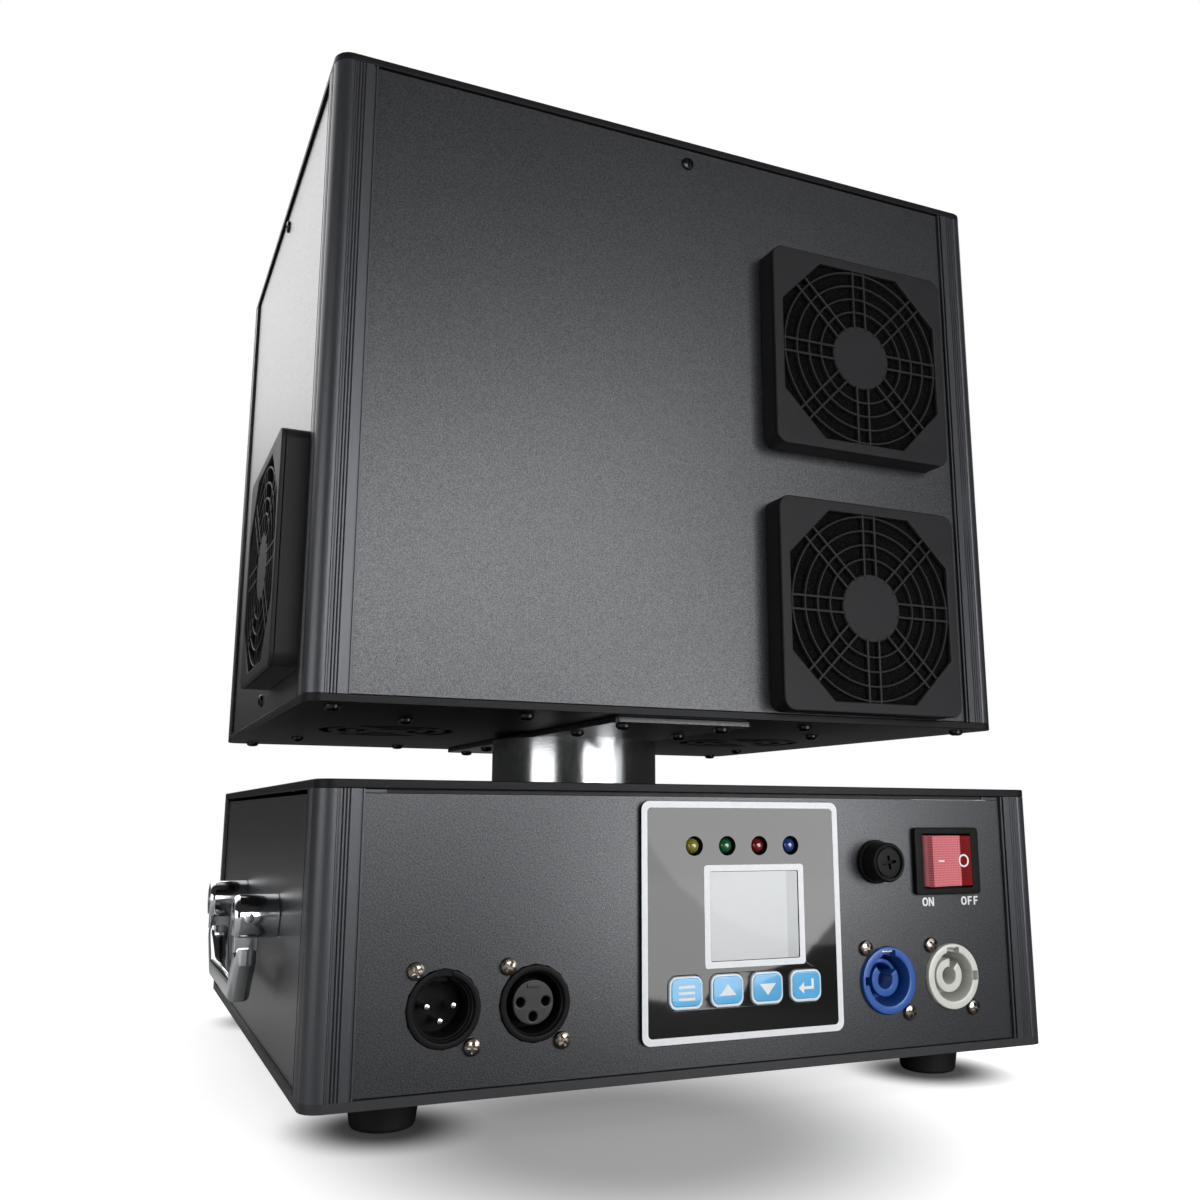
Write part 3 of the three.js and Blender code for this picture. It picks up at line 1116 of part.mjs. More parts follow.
// The hopper narrows to its throat over the feed trough
function hopperSolid() {
  const top = unitHeight - HOPPER_ROOF_GAP;
  const half = HOPPER_WIDTH / 2;
  const throat = HOPPER_THROAT / 2;
  const low = feedAxis;
  const high = low + HOPPER_FUNNEL;
  const outline = [
    [-throat, low],
    [throat, low],
    [half, high],
    [half, top],
    [-half, top],
    [-half, high],
  ].map(([x, y]) => new THREE.Vector2(x, y));
  const made = pushed(new THREE.Shape(outline), HOPPER_DEPTH, 0, 0, -HOPPER_DEPTH / 2);
  return made.rotate([90, 0, 0]).translate(0, FILLER_OFFSET, 0);
}
function sparkUnit() {
  const roof = unitHeight + PLATE_THICKNESS;
  const stand = block(STAND_WIDTH, STAND_DEPTH, STAND_HEIGHT, 0, STAND_DEPTH / 2 - BARREL_RADIUS);
  const barrel = turned([
    [0, STAND_HEIGHT / 2],
    [BARREL_RADIUS, STAND_HEIGHT / 2],
    [BARREL_RADIUS, STAND_HEIGHT + BARREL_HEIGHT],
    [NOZZLE_RADIUS, STAND_HEIGHT + BARREL_HEIGHT + BARREL_RADIUS - NOZZLE_RADIUS],
    [NOZZLE_RADIUS, roof + CLEARANCE],
    [NOZZLE_COLLAR_RADIUS, roof + CLEARANCE],
    [NOZZLE_COLLAR_RADIUS, roof + NOZZLE_COLLAR_HEIGHT],
    [NOZZLE_BORE, roof + NOZZLE_COLLAR_HEIGHT],
    [NOZZLE_BORE, roof - NOZZLE_BORE_DEPTH],
    [0, roof - NOZZLE_BORE_DEPTH],
  ]);
  const neckBottom = feedAxis + HOPPER_FUNNEL;
  const neck = bar(FILLER_RADIUS, roof + FILLER_NECK - neckBottom, 0, FILLER_OFFSET, neckBottom);
  const fill = bar(FILLER_BORE, roof + FILLER_NECK - feedAxis + OVERRUN, 0, FILLER_OFFSET, feedAxis);
  const troughLength = screwEnd + CLEARANCE;
  const troughBottom = feedAxis - TROUGH_SIZE / 2;
  const trough = block(TROUGH_SIZE, troughLength, TROUGH_SIZE, 0, troughLength / 2, troughBottom);
  const leg = block(TROUGH_SIZE, FEED_MOTOR_LENGTH, feedAxis - STAND_HEIGHT / 2, 0, FILLER_OFFSET, STAND_HEIGHT / 2);
  const along = [-90, 0, 0];
  const motor = bar(FEED_MOTOR_RADIUS, FEED_MOTOR_LENGTH).rotate(along).translate(0, troughLength - OVERRUN, feedAxis);
  const boreLength = SCREW_LENGTH + 2 * CLEARANCE;
  const boreShift = SCREW_START - CLEARANCE;
  const bore = bar(SCREW_RADIUS + CLEARANCE, boreLength).rotate(along).translate(0, boreShift, feedAxis);
  const sinkLength = FEED_SHAFT_SINK + OVERRUN;
  const shaft = bar(SCREW_CORE + CLEARANCE, sinkLength).rotate(along).translate(0, screwEnd - CLEARANCE, feedAxis);
  const joined = stand.add(barrel).add(hopperSolid()).add(neck).add(trough).add(leg).add(motor);
  return joined.subtract(fill).subtract(bore).subtract(shaft);
}

// Feed screw: one flight wound round its core, from a radius that swells as it turns along the length
function feedScrew() {
  const around = 6;
  const perTurn = 5;
  const steps = Math.round((SCREW_LENGTH / SCREW_PITCH) * perTurn);
  const points = [];
  for (let i = 0; i <= steps; i++) {
    for (let j = 0; j < around; j++) {
      const angle = (j / around) * 2 * Math.PI;
      const flight = Math.max(0, Math.cos(angle - (i / perTurn) * 2 * Math.PI)) ** 3;
      const radius = SCREW_CORE + (SCREW_RADIUS - SCREW_CORE - CLEARANCE) * flight;
      points.push(radius * Math.cos(angle), radius * Math.sin(angle), (i / steps) * SCREW_LENGTH);
    }
  }
  points.push(0, 0, 0, 0, 0, SCREW_LENGTH);
  const [bottom, top] = [points.length / 3 - 2, points.length / 3 - 1];
  const faces = [];
  for (let j = 0; j < around; j++) {
    const next = (j + 1) % around;
    faces.push(bottom, next, j, top, steps * around + j, steps * around + next);
    for (let i = 0; i < steps; i++) {
      const [p, q] = [i * around + j, i * around + next];
      faces.push(p, q, p + around, q, q + around, p + around);
    }
  }
  const geometry = new THREE.BufferGeometry();
  geometry.setAttribute("position", new THREE.Float32BufferAttribute(points, 3));
  geometry.setIndex(faces);
  const tail = bar(SCREW_CORE, FEED_SHAFT_SINK, 0, 0, SCREW_LENGTH - CLEARANCE, SMALL_SIDES);
  return solid(geometry).add(tail).rotate([-90, 0, 0]);
}

// Filler cap: a lobed lid whose plug sits in the filler neck
const CAP_RADIUS = 18;
const CAP_LOBE_DEPTH = 1.4;
const CAP_LOBES = 10;
const CAP_HEIGHT = 9;
const CAP_PLUG = 6;
function fillerCap() {
  const seat = FILLER_NECK + CLEARANCE;
  const outline = [...Array(2 * CAP_LOBES).keys()].map((i) => {
    const angle = (i / CAP_LOBES) * Math.PI;
    const radius = CAP_RADIUS - (i % 2) * CAP_LOBE_DEPTH;
    return new THREE.Vector2(radius * Math.cos(angle), radius * Math.sin(angle));
  });
  const lid = pushed(new THREE.Shape(outline), CAP_HEIGHT, 0, 0, seat);
  return lid.add(bar(FILLER_BORE - 2 * CLEARANCE, CAP_PLUG + OVERRUN, 0, 0, seat - CAP_PLUG));
}
for (const [side, sx] of [
  ["left", -1],
  ["right", 1],
]) {
  const x = sx * UNIT_X;
  place(`spark_unit_${side}`, sparkUnit(), castSteel, head, x, UNIT_Y, HEAD_FLOOR);
  place(`feed_screw_${side}`, feedScrew(), castSteel, head, x, UNIT_Y + SCREW_START, HEAD_FLOOR + feedAxis);
  place(`filler_cap_${side}`, fillerCap(), blackPlastic, head, x, UNIT_Y + FILLER_OFFSET, HEAD_TOP);
}

export default machine;
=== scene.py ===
import math

import bpy
from mathutils import Matrix, Vector


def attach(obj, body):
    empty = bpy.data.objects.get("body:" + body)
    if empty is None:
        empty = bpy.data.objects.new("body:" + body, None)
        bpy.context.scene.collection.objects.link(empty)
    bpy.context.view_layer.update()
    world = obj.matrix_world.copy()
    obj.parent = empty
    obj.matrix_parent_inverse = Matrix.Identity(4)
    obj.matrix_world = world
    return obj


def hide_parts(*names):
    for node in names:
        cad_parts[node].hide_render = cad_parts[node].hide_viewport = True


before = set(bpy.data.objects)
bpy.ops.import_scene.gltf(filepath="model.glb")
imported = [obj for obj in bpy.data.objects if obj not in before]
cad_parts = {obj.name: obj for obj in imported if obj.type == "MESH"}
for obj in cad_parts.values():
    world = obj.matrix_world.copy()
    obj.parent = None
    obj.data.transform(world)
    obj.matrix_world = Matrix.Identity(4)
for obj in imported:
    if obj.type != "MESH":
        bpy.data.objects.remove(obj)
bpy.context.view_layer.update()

# Camera: it stands low at the machine's front left corner, half a metre off the control panel,
# and looks up a little, so that the underside of the head shows and its sides lean together.
CAMERA_PLACE = (-0.2072, -0.50155, 0.1007)
CAMERA_HEADING = math.radians(-23.57)
CAMERA_LIFT = math.radians(10.9)
CAMERA_ROLL = math.radians(0.2)
CAMERA_LENS = 33.867
CAMERA_SENSOR = 36
CAMERA_CLIP = 0.01

bpy.ops.object.camera_add(location=CAMERA_PLACE)
camera = bpy.context.object
turn = Matrix.Rotation(CAMERA_HEADING, 3, "Z") @ Matrix.Rotation(math.pi / 2 + CAMERA_LIFT, 3, "X")
camera.rotation_euler = (turn @ Matrix.Rotation(CAMERA_ROLL, 3, "Z")).to_euler()
camera.data.lens = CAMERA_LENS
camera.data.sensor_width = CAMERA_SENSOR
camera.data.clip_start = CAMERA_CLIP
bpy.context.scene.camera = camera
bpy.context.scene.view_settings.view_transform = "Standard"


# Studio: a pale floor that runs into a white backdrop, with the machine's shade painted on it.
# A wide key softbox stands low in front, a weak one at the left and one high behind; three cards and
# the room's white wall and its softer left panel show only as a sheen in what is glossy.
class Signal:
    """A value on its way through a shader. Sums with it add their own Math nodes."""

    def __init__(self, tree, socket=None):
        self.tree = tree
        self.socket = socket

    def node(self, kind, settings=None, sockets=None, out=0):
        made = self.tree.nodes.new(kind)
        for name, value in (settings or {}).items():
            setattr(made, name, value)
        for name, value in (sockets or {}).items():
            if isinstance(value, Signal):
                self.tree.links.new(value.socket, made.inputs[name])
            else:
                made.inputs[name].default_value = value
        return Signal(self.tree, made.outputs[out])

    def into(self, shader, name):
        self.tree.links.new(self.socket, shader.inputs[name])

    def math(self, operation, first, second):
        return self.node("ShaderNodeMath", {"operation": operation}, {0: first, 1: second})

    def __add__(self, other):
        return self.math("ADD", self, other)

    def __mul__(self, other):
        return self.math("MULTIPLY", self, other)

    __radd__, __rmul__ = __add__, __mul__

    def __rsub__(self, other):
        return self.math("SUBTRACT", other, self)

    def __gt__(self, other):
        return self.math("GREATER_THAN", self, other)

    def __lt__(self, other):
        return self.math("LESS_THAN", self, other)

    def vector(self, operation, other=(0, 0, 0), out=0):
        return self.node("ShaderNodeVectorMath", {"operation": operation}, {0: self, 1: other}, out)

    def axis(self, index):
        """One number of a place: 0 for x, 1 for y and 2 for z."""
        return self.node("ShaderNodeSeparateXYZ", sockets={0: self}, out=index)

    def between(self, low, high):
        """Nought below low, one above high, and a soft rise between them."""
        settings = {"interpolation_type": "SMOOTHSTEP"}
        return self.node("ShaderNodeMapRange", settings, {0: self, 1: low, 2: high})


def where(signal, kind="Object"):
    """The shaded point's place: on its own piece, or the way to it in the room for Generated."""
    return signal.node("ShaderNodeTexCoord", out=kind)


def ray(signal, kind):
    """One for rays of a kind, nought for all others."""
    return signal.node("ShaderNodeLightPath", out="Is %s Ray" % kind)


def either(first, second):
    return first.math("MAXIMUM", first, second)


def blended(factor, first, second):
    """Two colours mixed by a factor."""
    return factor.node("ShaderNodeMix", {"data_type": "RGBA"}, {0: factor, 6: first, 7: second}, out=2)


def paint(code):
    """A screen colour written as six hex digits, as the linear colour that a shader takes."""
    parts = [int(code[i : i + 2], 16) / 255 for i in (0, 2, 4)]
    linear = [c / 12.92 if c <= 0.04045 else ((c + 0.055) / 1.055) ** 2.4 for c in parts]
    return (*linear, 1.0)


WHITE = (1, 1, 1, 1)
BACK_EDGE = (0.1, 0.5)
WALL_EDGE = (0.22, 0.34)
WALL_BRIGHTNESS = 1.5
PANEL_LEFT_EDGE = (-0.9, -0.3)
PANEL_RIGHT_EDGE = (0.0, 0.25)
PANEL_LOW_EDGE = (0.06, 0.33)
PANEL_BRIGHTNESS = 0.75
ROOM_BRIGHTNESS = 0.32
DARK_ROOM = 0.03

studio = bpy.data.worlds.new("studio")
studio.use_nodes = True
bpy.context.scene.world = studio
background = studio.node_tree.nodes["Background"]
light = Signal(studio.node_tree)
direction = where(light, "Generated")
sideways, across, upward = (direction.axis(index) for index in range(3))
in_panel = sideways.between(*PANEL_LEFT_EDGE) * (1 - sideways.between(*PANEL_RIGHT_EDGE))
wall = upward.between(*WALL_EDGE) * WALL_BRIGHTNESS
left_panel = in_panel * upward.between(*PANEL_LOW_EDGE) * PANEL_BRIGHTNESS
mirrored = DARK_ROOM + across.between(*BACK_EDGE) * (wall + left_panel)
glossy = ray(light, "Glossy")
plain_white = either(ray(light, "Camera"), ray(light, "Transmission"))
lit = plain_white + (1 - plain_white) * (glossy * mirrored + (1 - glossy) * ROOM_BRIGHTNESS)
lit.into(background, "Strength")
background.inputs["Color"].default_value = WHITE

BLACK = (0, 0, 0, 1)
PALE = (0.8, 0.8, 0.8, 1)
FLOOR_REACH = 6
FLOOR_LEVEL = -0.0004
FLOOR_ROUGHNESS = 0.9
FLOOR_HAZE = 0.75
FADE_CENTRE = (0.03, -0.05, 0)
FADE_REACH = (1, 1.6, 1)
FADE_EDGE = (0.18, 0.36)
SHADE_CENTRE = (-0.041, -0.144, 0)
SHADE_REACH = (0.132, 0.132, 1)
SHADE_EDGE = (0.3, 1.0)
SHADE_FLOOR = 0.3
FOOT_CENTRE = (0.1128, 0.1098, 0)
FOOT_SHIFT = (0, 0.00405, 0)
FOOT_EDGE = (0.012, 0.038)
FOOT_SHADE = 0.06
BESIDE_EDGE = (-0.165, -0.14)
FAR_BACK_EDGE = (0.1, 0.5)
REFLECTED_FLOOR_SHADE = 0.75

bpy.ops.mesh.primitive_plane_add(size=FLOOR_REACH, location=(0, 0, FLOOR_LEVEL))
floor = bpy.context.object
floor.name = "floor"
floor_paint = bpy.data.materials.new("pale_floor")
floor_paint.use_nodes = True
signal = Signal(floor_paint.node_tree)
shader = floor_paint.node_tree.nodes["Principled BSDF"]
shader.inputs["Roughness"].default_value = FLOOR_ROUGHNESS


def spaced(place, centre, reach=(1, 1, 1)):
    """How far a place lies from a centre, measured in a reach along each axis."""
    return place.vector("SUBTRACT", centre).vector("DIVIDE", reach).vector("LENGTH", out=1)


def glow(signal, strength):
    return signal.node("ShaderNodeEmission", sockets={"Color": WHITE, "Strength": strength})


place = where(signal)
seen = ray(signal, "Camera")
under_machine = spaced(place, SHADE_CENTRE, SHADE_REACH).between(*SHADE_EDGE)
in_corner = place.vector("SUBTRACT", FOOT_SHIFT).vector("ABSOLUTE")
off_foot = spaced(in_corner, FOOT_CENTRE).between(*FOOT_EDGE)
shade = (SHADE_FLOOR + (1 - SHADE_FLOOR) * under_machine) * (FOOT_SHADE + off_foot * (1 - FOOT_SHADE))
# Painted shade in reflections: seen in gloss, the floor is painted darker, save where it lies left of the
# machine and not far back.
away = either(place.axis(0).between(*BESIDE_EDGE), place.axis(1).between(*FAR_BACK_EDGE))
tone = shade * (1 - ray(signal, "Glossy") * away * REFLECTED_FLOOR_SHADE)
blended(tone, BLACK, PALE).into(shader, "Base Color")
matt = Signal(signal.tree, shader.outputs[0])
hazy = signal.node("ShaderNodeAddShader", sockets={0: matt, 1: glow(signal, shade * FLOOR_HAZE)})
near = signal.node("ShaderNodeMixShader", sockets={0: seen, 1: matt, 2: hazy})
far = spaced(place, FADE_CENTRE, FADE_REACH).between(*FADE_EDGE) * seen
ground = signal.node("ShaderNodeMixShader", sockets={0: far, 1: near, 2: glow(signal, 1.0)})
ground.into(signal.tree.nodes["Material Output"], 0)
floor.data.materials.append(floor_paint)

LAMP_AIM = (0, 0, 0.2)


def lamp(name, shape, place, aim, size, spin, watts):
    """An area lamp that faces a point, turned by a spin about its own line of sight."""
    bpy.ops.object.light_add(type="AREA", location=place)
    made = bpy.context.object
    made.name = name
    view = (Vector(aim) - Vector(place)).to_track_quat("-Z", "Y").to_matrix()
    made.rotation_euler = (view @ Matrix.Rotation(math.radians(spin), 3, "Z")).to_euler()
    made.data.shape = shape
    made.data.size, made.data.size_y = size
    made.data.energy = watts
    return made


def softbox(name, heading, height, distance, size, watts, lean=0):
    """A rectangular lamp on a heading counted from the front towards the right; a lean lifts its right end."""
    a, e = math.radians(heading), math.radians(height)
    offset = Vector((math.sin(a) * math.cos(e), -math.cos(a) * math.cos(e), math.sin(e)))
    lamp(name, "RECTANGLE", Vector(LAMP_AIM) + distance * offset, LAMP_AIM, size, lean, watts)


def glow_card(name, shape, place, aim, size, spin, watts):
    """A bright card that shows only as a sheen in what is glossy."""
    card = lamp(name, shape, place, aim, size, spin, watts)
    card.visible_camera = card.visible_diffuse = False


softbox("key_softbox", heading=10, height=10.5, distance=1.7, size=(1.2, 0.58), watts=18, lean=9)
softbox("left_softbox", heading=-65, height=4, distance=1.6, size=(0.95, 0.8), watts=1.6)
softbox("back_softbox", heading=160, height=42, distance=1.8, size=(1.2, 0.8), watts=12)
glow_card("left_card", "RECTANGLE", (-1.45, -0.68, 0.31), LAMP_AIM, (0.95, 0.8), 0, 7)
glow_card("low_card", "ELLIPSE", (0.123, -0.3558, 0.0756), (0.01, -0.137, 0.09), (0.192, 0.131), 33, 0.34)
glow_card("round_card", "ELLIPSE", (0.187, -0.3558, 0.142), (0.035, -0.137, 0.129), (0.235, 0.23), 0, 0.19)


# Feet: four moulded rubber feet that taper towards a rounded tread.
# A screw in the recess of each tread, not drawn here, holds it to the bottom plate.
MM = 0.001
BOX_SETBACK = 4.05
MERGE_GAP = 0.0004
FOOT_PROFILE = [
    (0, 6), (4, 6), (4, 0.7), (4.7, 0), (9.2, 0), (10.3, 0.4), (10.9, 1.5), (12.4, 11.4), (12.5, 13), (0, 13)
]
FOOT_SPOTS = {
    "front_left": (-112.8, -109.8), "front_right": (112.8, -109.8),
    "back_left": (-112.8, 109.8), "back_right": (112.8, 109.8),
}
FACINGS = {
    "front": ((1, 0, 0), (0, 0, 1), (0, -1, 0)),
    "back": ((-1, 0, 0), (0, 0, 1), (0, 1, 0)),
    "left": ((0, -1, 0), (0, 0, 1), (-1, 0, 0)),
    "right": ((0, 1, 0), (0, 0, 1), (1, 0, 0)),
    "top": ((1, 0, 0), (0, 1, 0), (0, 0, 1)),
    "under": ((1, 0, 0), (0, -1, 0), (0, 0, -1)),
}


def facing(side, x, y, z, spin=0):
    """Where a drawing in millimetres goes: its own x runs right, y up and z out of that side of the machine."""
    turn = Matrix(FACINGS[side]).transposed().to_4x4() @ Matrix.Rotation(math.radians(spin), 4, "Z")
    return Matrix.Translation(Vector((x, y + BOX_SETBACK, z)) * MM) @ turn @ Matrix.Scale(MM, 4)


def pick(piece):
    """Leaves one piece selected and active."""
    bpy.ops.object.select_all(action="DESELECT")
    piece.select_set(True)
    bpy.context.view_layer.objects.active = piece


def cleaned(piece):
    """Merges the doubles of a drawing and turns all its faces outwards."""
    pick(piece)
    bpy.ops.object.mode_set(mode="EDIT")
    bpy.ops.mesh.select_all(action="SELECT")
    bpy.ops.mesh.remove_doubles(threshold=MERGE_GAP)
    bpy.ops.mesh.normals_make_consistent(inside=False)
    bpy.ops.object.mode_set(mode="OBJECT")
    return piece


def line_drawing(name, lines, closed, fill):
    """A flat drawing of some lines, picked, and its curve."""
    drawing = bpy.data.curves.new(name, "CURVE")
    drawing.dimensions = "2D"
    drawing.fill_mode = fill
    for points in lines:
        line = drawing.splines.new("POLY")
        line.points.add(len(points) - 1)
        for point, (x, y) in zip(line.points, points):
            point.co = (x, y, 0, 1)
        line.use_cyclic_u = closed
    piece = bpy.data.objects.new(name, drawing)
    bpy.context.scene.collection.objects.link(piece)
    pick(piece)
    return piece, drawing


def outlined(name, outlines, thickness, edge, steps=2):
    """A sheet cut along flat outlines, holes among them, with its edges rounded; it lies about z = 0."""
    _, drawing = line_drawing(name, outlines, True, "BOTH")
    drawing.extrude = thickness / 2 - edge
    drawing.bevel_depth = edge
    drawing.bevel_resolution = steps
    drawing.offset = -edge
    bpy.ops.object.convert(target="MESH")
    return cleaned(bpy.context.object)


def lathed(name, profile, sides=40):
    """A profile of radius and height pairs turned about the z axis, as on a lathe."""
    turned, _ = line_drawing(name, [profile], profile[0][0] > 0, "NONE")
    turned.rotation_euler = (math.pi / 2, 0, 0)
    bpy.ops.object.convert(target="MESH")
    bpy.ops.object.transform_apply(location=True, rotation=True, scale=True)
    sweep = bpy.context.object.modifiers.new("turn", "SCREW")
    sweep.steps = sweep.render_steps = sides
    sweep.use_merge_vertices = True
    sweep.merge_threshold = MERGE_GAP
    bpy.ops.object.modifier_apply(modifier="turn")
    return cleaned(bpy.context.object)


def moved(piece, x=0, y=0, z=0, spin=0):
    """Shifts and turns a drawing on its own sheet."""
    piece.data.transform(Matrix.Translation((x, y, z)) @ Matrix.Rotation(math.radians(spin), 4, "Z"))
    return piece


def copied(piece):
    twin = piece.copy()
    twin.data = piece.data.copy()
    bpy.context.scene.collection.objects.link(twin)
    return twin


def joined(pieces):
    """Several drawings as one piece."""
    pick(pieces[0])
    for piece in pieces[1:]:
        piece.select_set(True)
    bpy.ops.object.join()
    return bpy.context.object


def fitted(piece, name, place, made, body, node=None, angle=32):
    """Puts a drawing in its place on the machine, with its material and the body that it moves with."""
    piece.name = piece.data.name = name
    piece.data.transform(place)
    piece.data.materials.clear()
    piece.data.materials.append(made)
    pick(piece)
    bpy.ops.object.shade_smooth_by_angle(angle=math.radians(angle))
    evened = piece.modifiers.new("evened", "WEIGHTED_NORMAL")
    evened.keep_sharp = True
    bpy.ops.object.modifier_apply(modifier="evened")
    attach(piece, body)
    if node:
        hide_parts(node)


def finish(name, colour, roughness, metallic=0.0, coat=0.0, shine=0.5):
    """A new material with plain values on its shader; gives both, and a signal to build on."""
    made = bpy.data.materials.new(name)
    made.use_nodes = True
    shader = made.node_tree.nodes["Principled BSDF"]
    shader.inputs["Base Color"].default_value = paint(colour)
    shader.inputs["Roughness"].default_value = roughness
    shader.inputs["Metallic"].default_value = metallic
    shader.inputs["Coat Weight"].default_value = coat
    shader.inputs["Specular IOR Level"].default_value = shine
    return made, shader, Signal(made.node_tree)


def noise(signal, size, detail=2.0, stretch=(1, 1, 1)):
    """Cloudy noise whose lumps are about so many millimetres across, stretched along each axis."""
    sockets = {"Vector": where(signal).vector("DIVIDE", stretch), "Scale": 1 / (size * MM), "Detail": detail}
    return signal.node("ShaderNodeTexNoise", sockets=sockets)


def bumped(shader, height, depth):
    """Lets a height, from nought to one, raise the surface by so many millimetres."""
    sockets = {"Strength": 1.0, "Distance": depth * MM, "Height": height}
    height.node("ShaderNodeBump", sockets=sockets).into(shader, "Normal")


def mottled(shader, clouds, colour, other, roughness, spread):
    """Lets clouds shift the colour between two shades and the roughness by a spread."""
    blended(clouds, paint(colour), paint(other)).into(shader, "Base Color")
    (roughness - spread / 2 + clouds * spread).into(shader, "Roughness")


def dappled(name, shades, roughness, spread, clouds, grain=None, **plain):
    """A material of a middle shade that clouds shift between two others, with a depth and size of grain."""
    made, shader, signal = finish(name, shades[0], roughness, **plain)
    mottled(shader, noise(signal, *clouds), *shades[1:], roughness, spread)
    if grain:
        depth, *size = grain
        bumped(shader, noise(signal, *size), depth)
    return made


rubber = dappled("moulded_rubber", ("0c0c0d", "08080a", "121213"), 0.6, 0.2, (3,), (0.05, 0.35), shine=0.3)

for spot, (x, y) in FOOT_SPOTS.items():
    foot = lathed("foot", FOOT_PROFILE)
    fitted(foot, "rubber_foot_" + spot, facing("top", x, y, 0), rubber, "base", "foot_" + spot)


# Base bottom plate: folded sheet with a black powder coat, carried by the four corner posts.
# The power supply's tin case and the control board on its standoffs are screwed to it inside.
BOARD_FLOOR = 16.8


def dress(node, made):
    """Gives a carried-over node its finish."""
    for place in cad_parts[node].material_slots:
        place.material = made


inner_steel, shader, signal = finish("plate_and_inner_parts", "2a2b2e", 0.45, shine=0.3)
inside = where(signal).axis(2) > BOARD_FLOOR * MM
blended(inside, paint("2a2b2e"), paint("989a9c")).into(shader, "Base Color")
(inside * 0.9).into(shader, "Metallic")
bumped(shader, noise(signal, 0.5), 0.04)
dress("base_bottom_plate", inner_steel)


# Corner posts of the base: black anodised aluminium extrusions, cut to length, with screws in their ends.
# The round corner is followed by a valley, three fine flutes, a flat and the slot that takes the panel.
BASE_SIZE = (290.6, 284.6)
BASE_INSIDE = (16.0, 109.5)
POST_ROUND = 6.3
POST_ROUND_STEPS = 8
POST_VALLEY = [(6.7, 0.12), (7.0, 0.45), (7.4, 0.45), (7.7, 0.12), (7.9, 0)]
FLUTES = (8.3, 9.4, 10.5)
FLUTE = ((0, 0), (0.14, 0.26), (0.3, 0.42), (0.46, 0.26), (0.6, 0))
POST_SLOT = [
    (14.0, 0), (14.0, 0.85), (15, 0.85), (15, 0), (15.5, 0), (15.6, 0.1), (15.6, 1), (12.2, 1), (12.2, 3.1),
    (17, 3.1), (17, 4.6), (12.2, 4.6), (12.2, 12.2),
]
POST_SPINS = {"front_left": 0, "front_right": 90, "back_left": -90, "back_right": 180}


def post_section():
    """The outline of a post: one half of it, from the corner to the inner edge, and its mirror image."""
    half = []
    for step in range(POST_ROUND_STEPS + 1):
        a = math.radians(45 - step * 45 / POST_ROUND_STEPS)
        half.append((POST_ROUND * (1 - math.sin(a)), POST_ROUND * (1 - math.cos(a))))
    half += POST_VALLEY
    for start in FLUTES:
        half += [(start + x, y) for x, y in FLUTE]
    half += POST_SLOT
    return half + [(y, x) for x, y in reversed(half[1:-1])]


def corner_posts(box, size, inside):
    """Four lengths of the same extrusion, each turned so that its round corner faces out."""
    length = inside[1] - inside[0]
    pattern = moved(outlined("post", [post_section()], length, 0), z=length / 2)
    for corner, spin in POST_SPINS.items():
        x = size[0] / 2 * (-1 if "left" in corner else 1)
        y = size[1] / 2 * (-1 if "front" in corner else 1)
        name, node = box + "_extrusion_" + corner, box + "_post_" + corner
        place = facing("top", x, y, inside[0], spin)
        fitted(copied(pattern), name, place, anodised, box, node, angle=25)
    bpy.data.objects.remove(pattern)


anodised, shader, signal = finish("black_anodised_extrusion", "26272a", 0.36, metallic=0.15, shine=0.8)
streaks = noise(signal, 0.5, 3, stretch=(1, 1, 60))
grit = noise(signal, 0.5, 3)
mottled(shader, streaks * 0.5 + grit * 0.5, "1b1c1e", "303134", 0.38, 0.2)
bumped(shader, grit, 0.05)
shader.inputs["Specular Tint"].default_value = paint("f4f6ff")
corner_posts("base", BASE_SIZE, BASE_INSIDE)


# Side panels of the base: steel sheet slid into the posts' slots, its upper edge bent back,
# with a black powder coat whose fine grain varies in gloss.
powder_coat, shader, signal = finish("black_powder_coat", "1b1c1e", 0.36, shine=0.25)
cloud = noise(signal, 60, 3)
grain = noise(signal, 0.75, 2)
fine = noise(signal, 0.42, 3)
blended(cloud * 0.4 + fine * 0.6, paint("121315"), paint("25262a")).into(shader, "Base Color")
(0.24 + fine * 0.24).into(shader, "Roughness")
fine.between(0.2, 0.8).into(shader, "Coat Weight")
shader.inputs["Coat Roughness"].default_value = 0.36
shader.inputs["Coat IOR"].default_value = 1.62
bumped(shader, grain * 0.7 + fine * 0.3, 0.1)
shader.inputs["Specular Tint"].default_value = paint("eff4ff")

PANEL_SIDES = ("front", "back", "left", "right")
for side in PANEL_SIDES:
    dress("base_%s_panel" % side, powder_coat)


# Panel sockets: two three-pole data sockets in black, and two locking mains sockets in blue and light grey.
# Each is a moulded barrel through the panel, held from in front by two pan-head screws on its diagonal.
PANEL_FACE = -141.0
SOCKET_LEVEL = 40.8
SOCKET_SPOTS = DATA_IN, DATA_OUT, POWER_IN, POWER_OUT = (-101.8, -70.9, 70.7, 101.1)
PIN_SPOTS = ((-4.4, 0.2), (4.4, 0.2), (0, -4.4))
SCREW_OFFSETS = ((-9.5, 12), (9.5, -12))
LATCH_GAP = 5.4
DATA_BARREL = [
    (0, -15), (12.2, -15), (12.2, 0.5), (12.0, 0.85), (11.6, 1.0), (10.7, 1.0), (10.35, 0.85), (10.2, 0.4),
    (10.1, -0.5), (9.6, -0.9), (9.6, -13.5), (0, -13.5),
]
SLEEVE = [(8.9, -13.8), (9.7, -13.8), (9.7, -2.3), (9.5, -2), (9.1, -2), (8.9, -2.3)]
PIN = [(0, -14), (1.2, -14), (1.2, -4.6), (0.85, -3.9), (0, -3.6)]
MAINS_BARREL = [
    (0, -15), (12.2, -15), (12.2, 1.0), (12.0, 1.5), (11.5, 1.7), (9.9, 1.7), (9.4, 1.5), (9.1, 1.0),
    (9.1, -12), (0, -12),
]
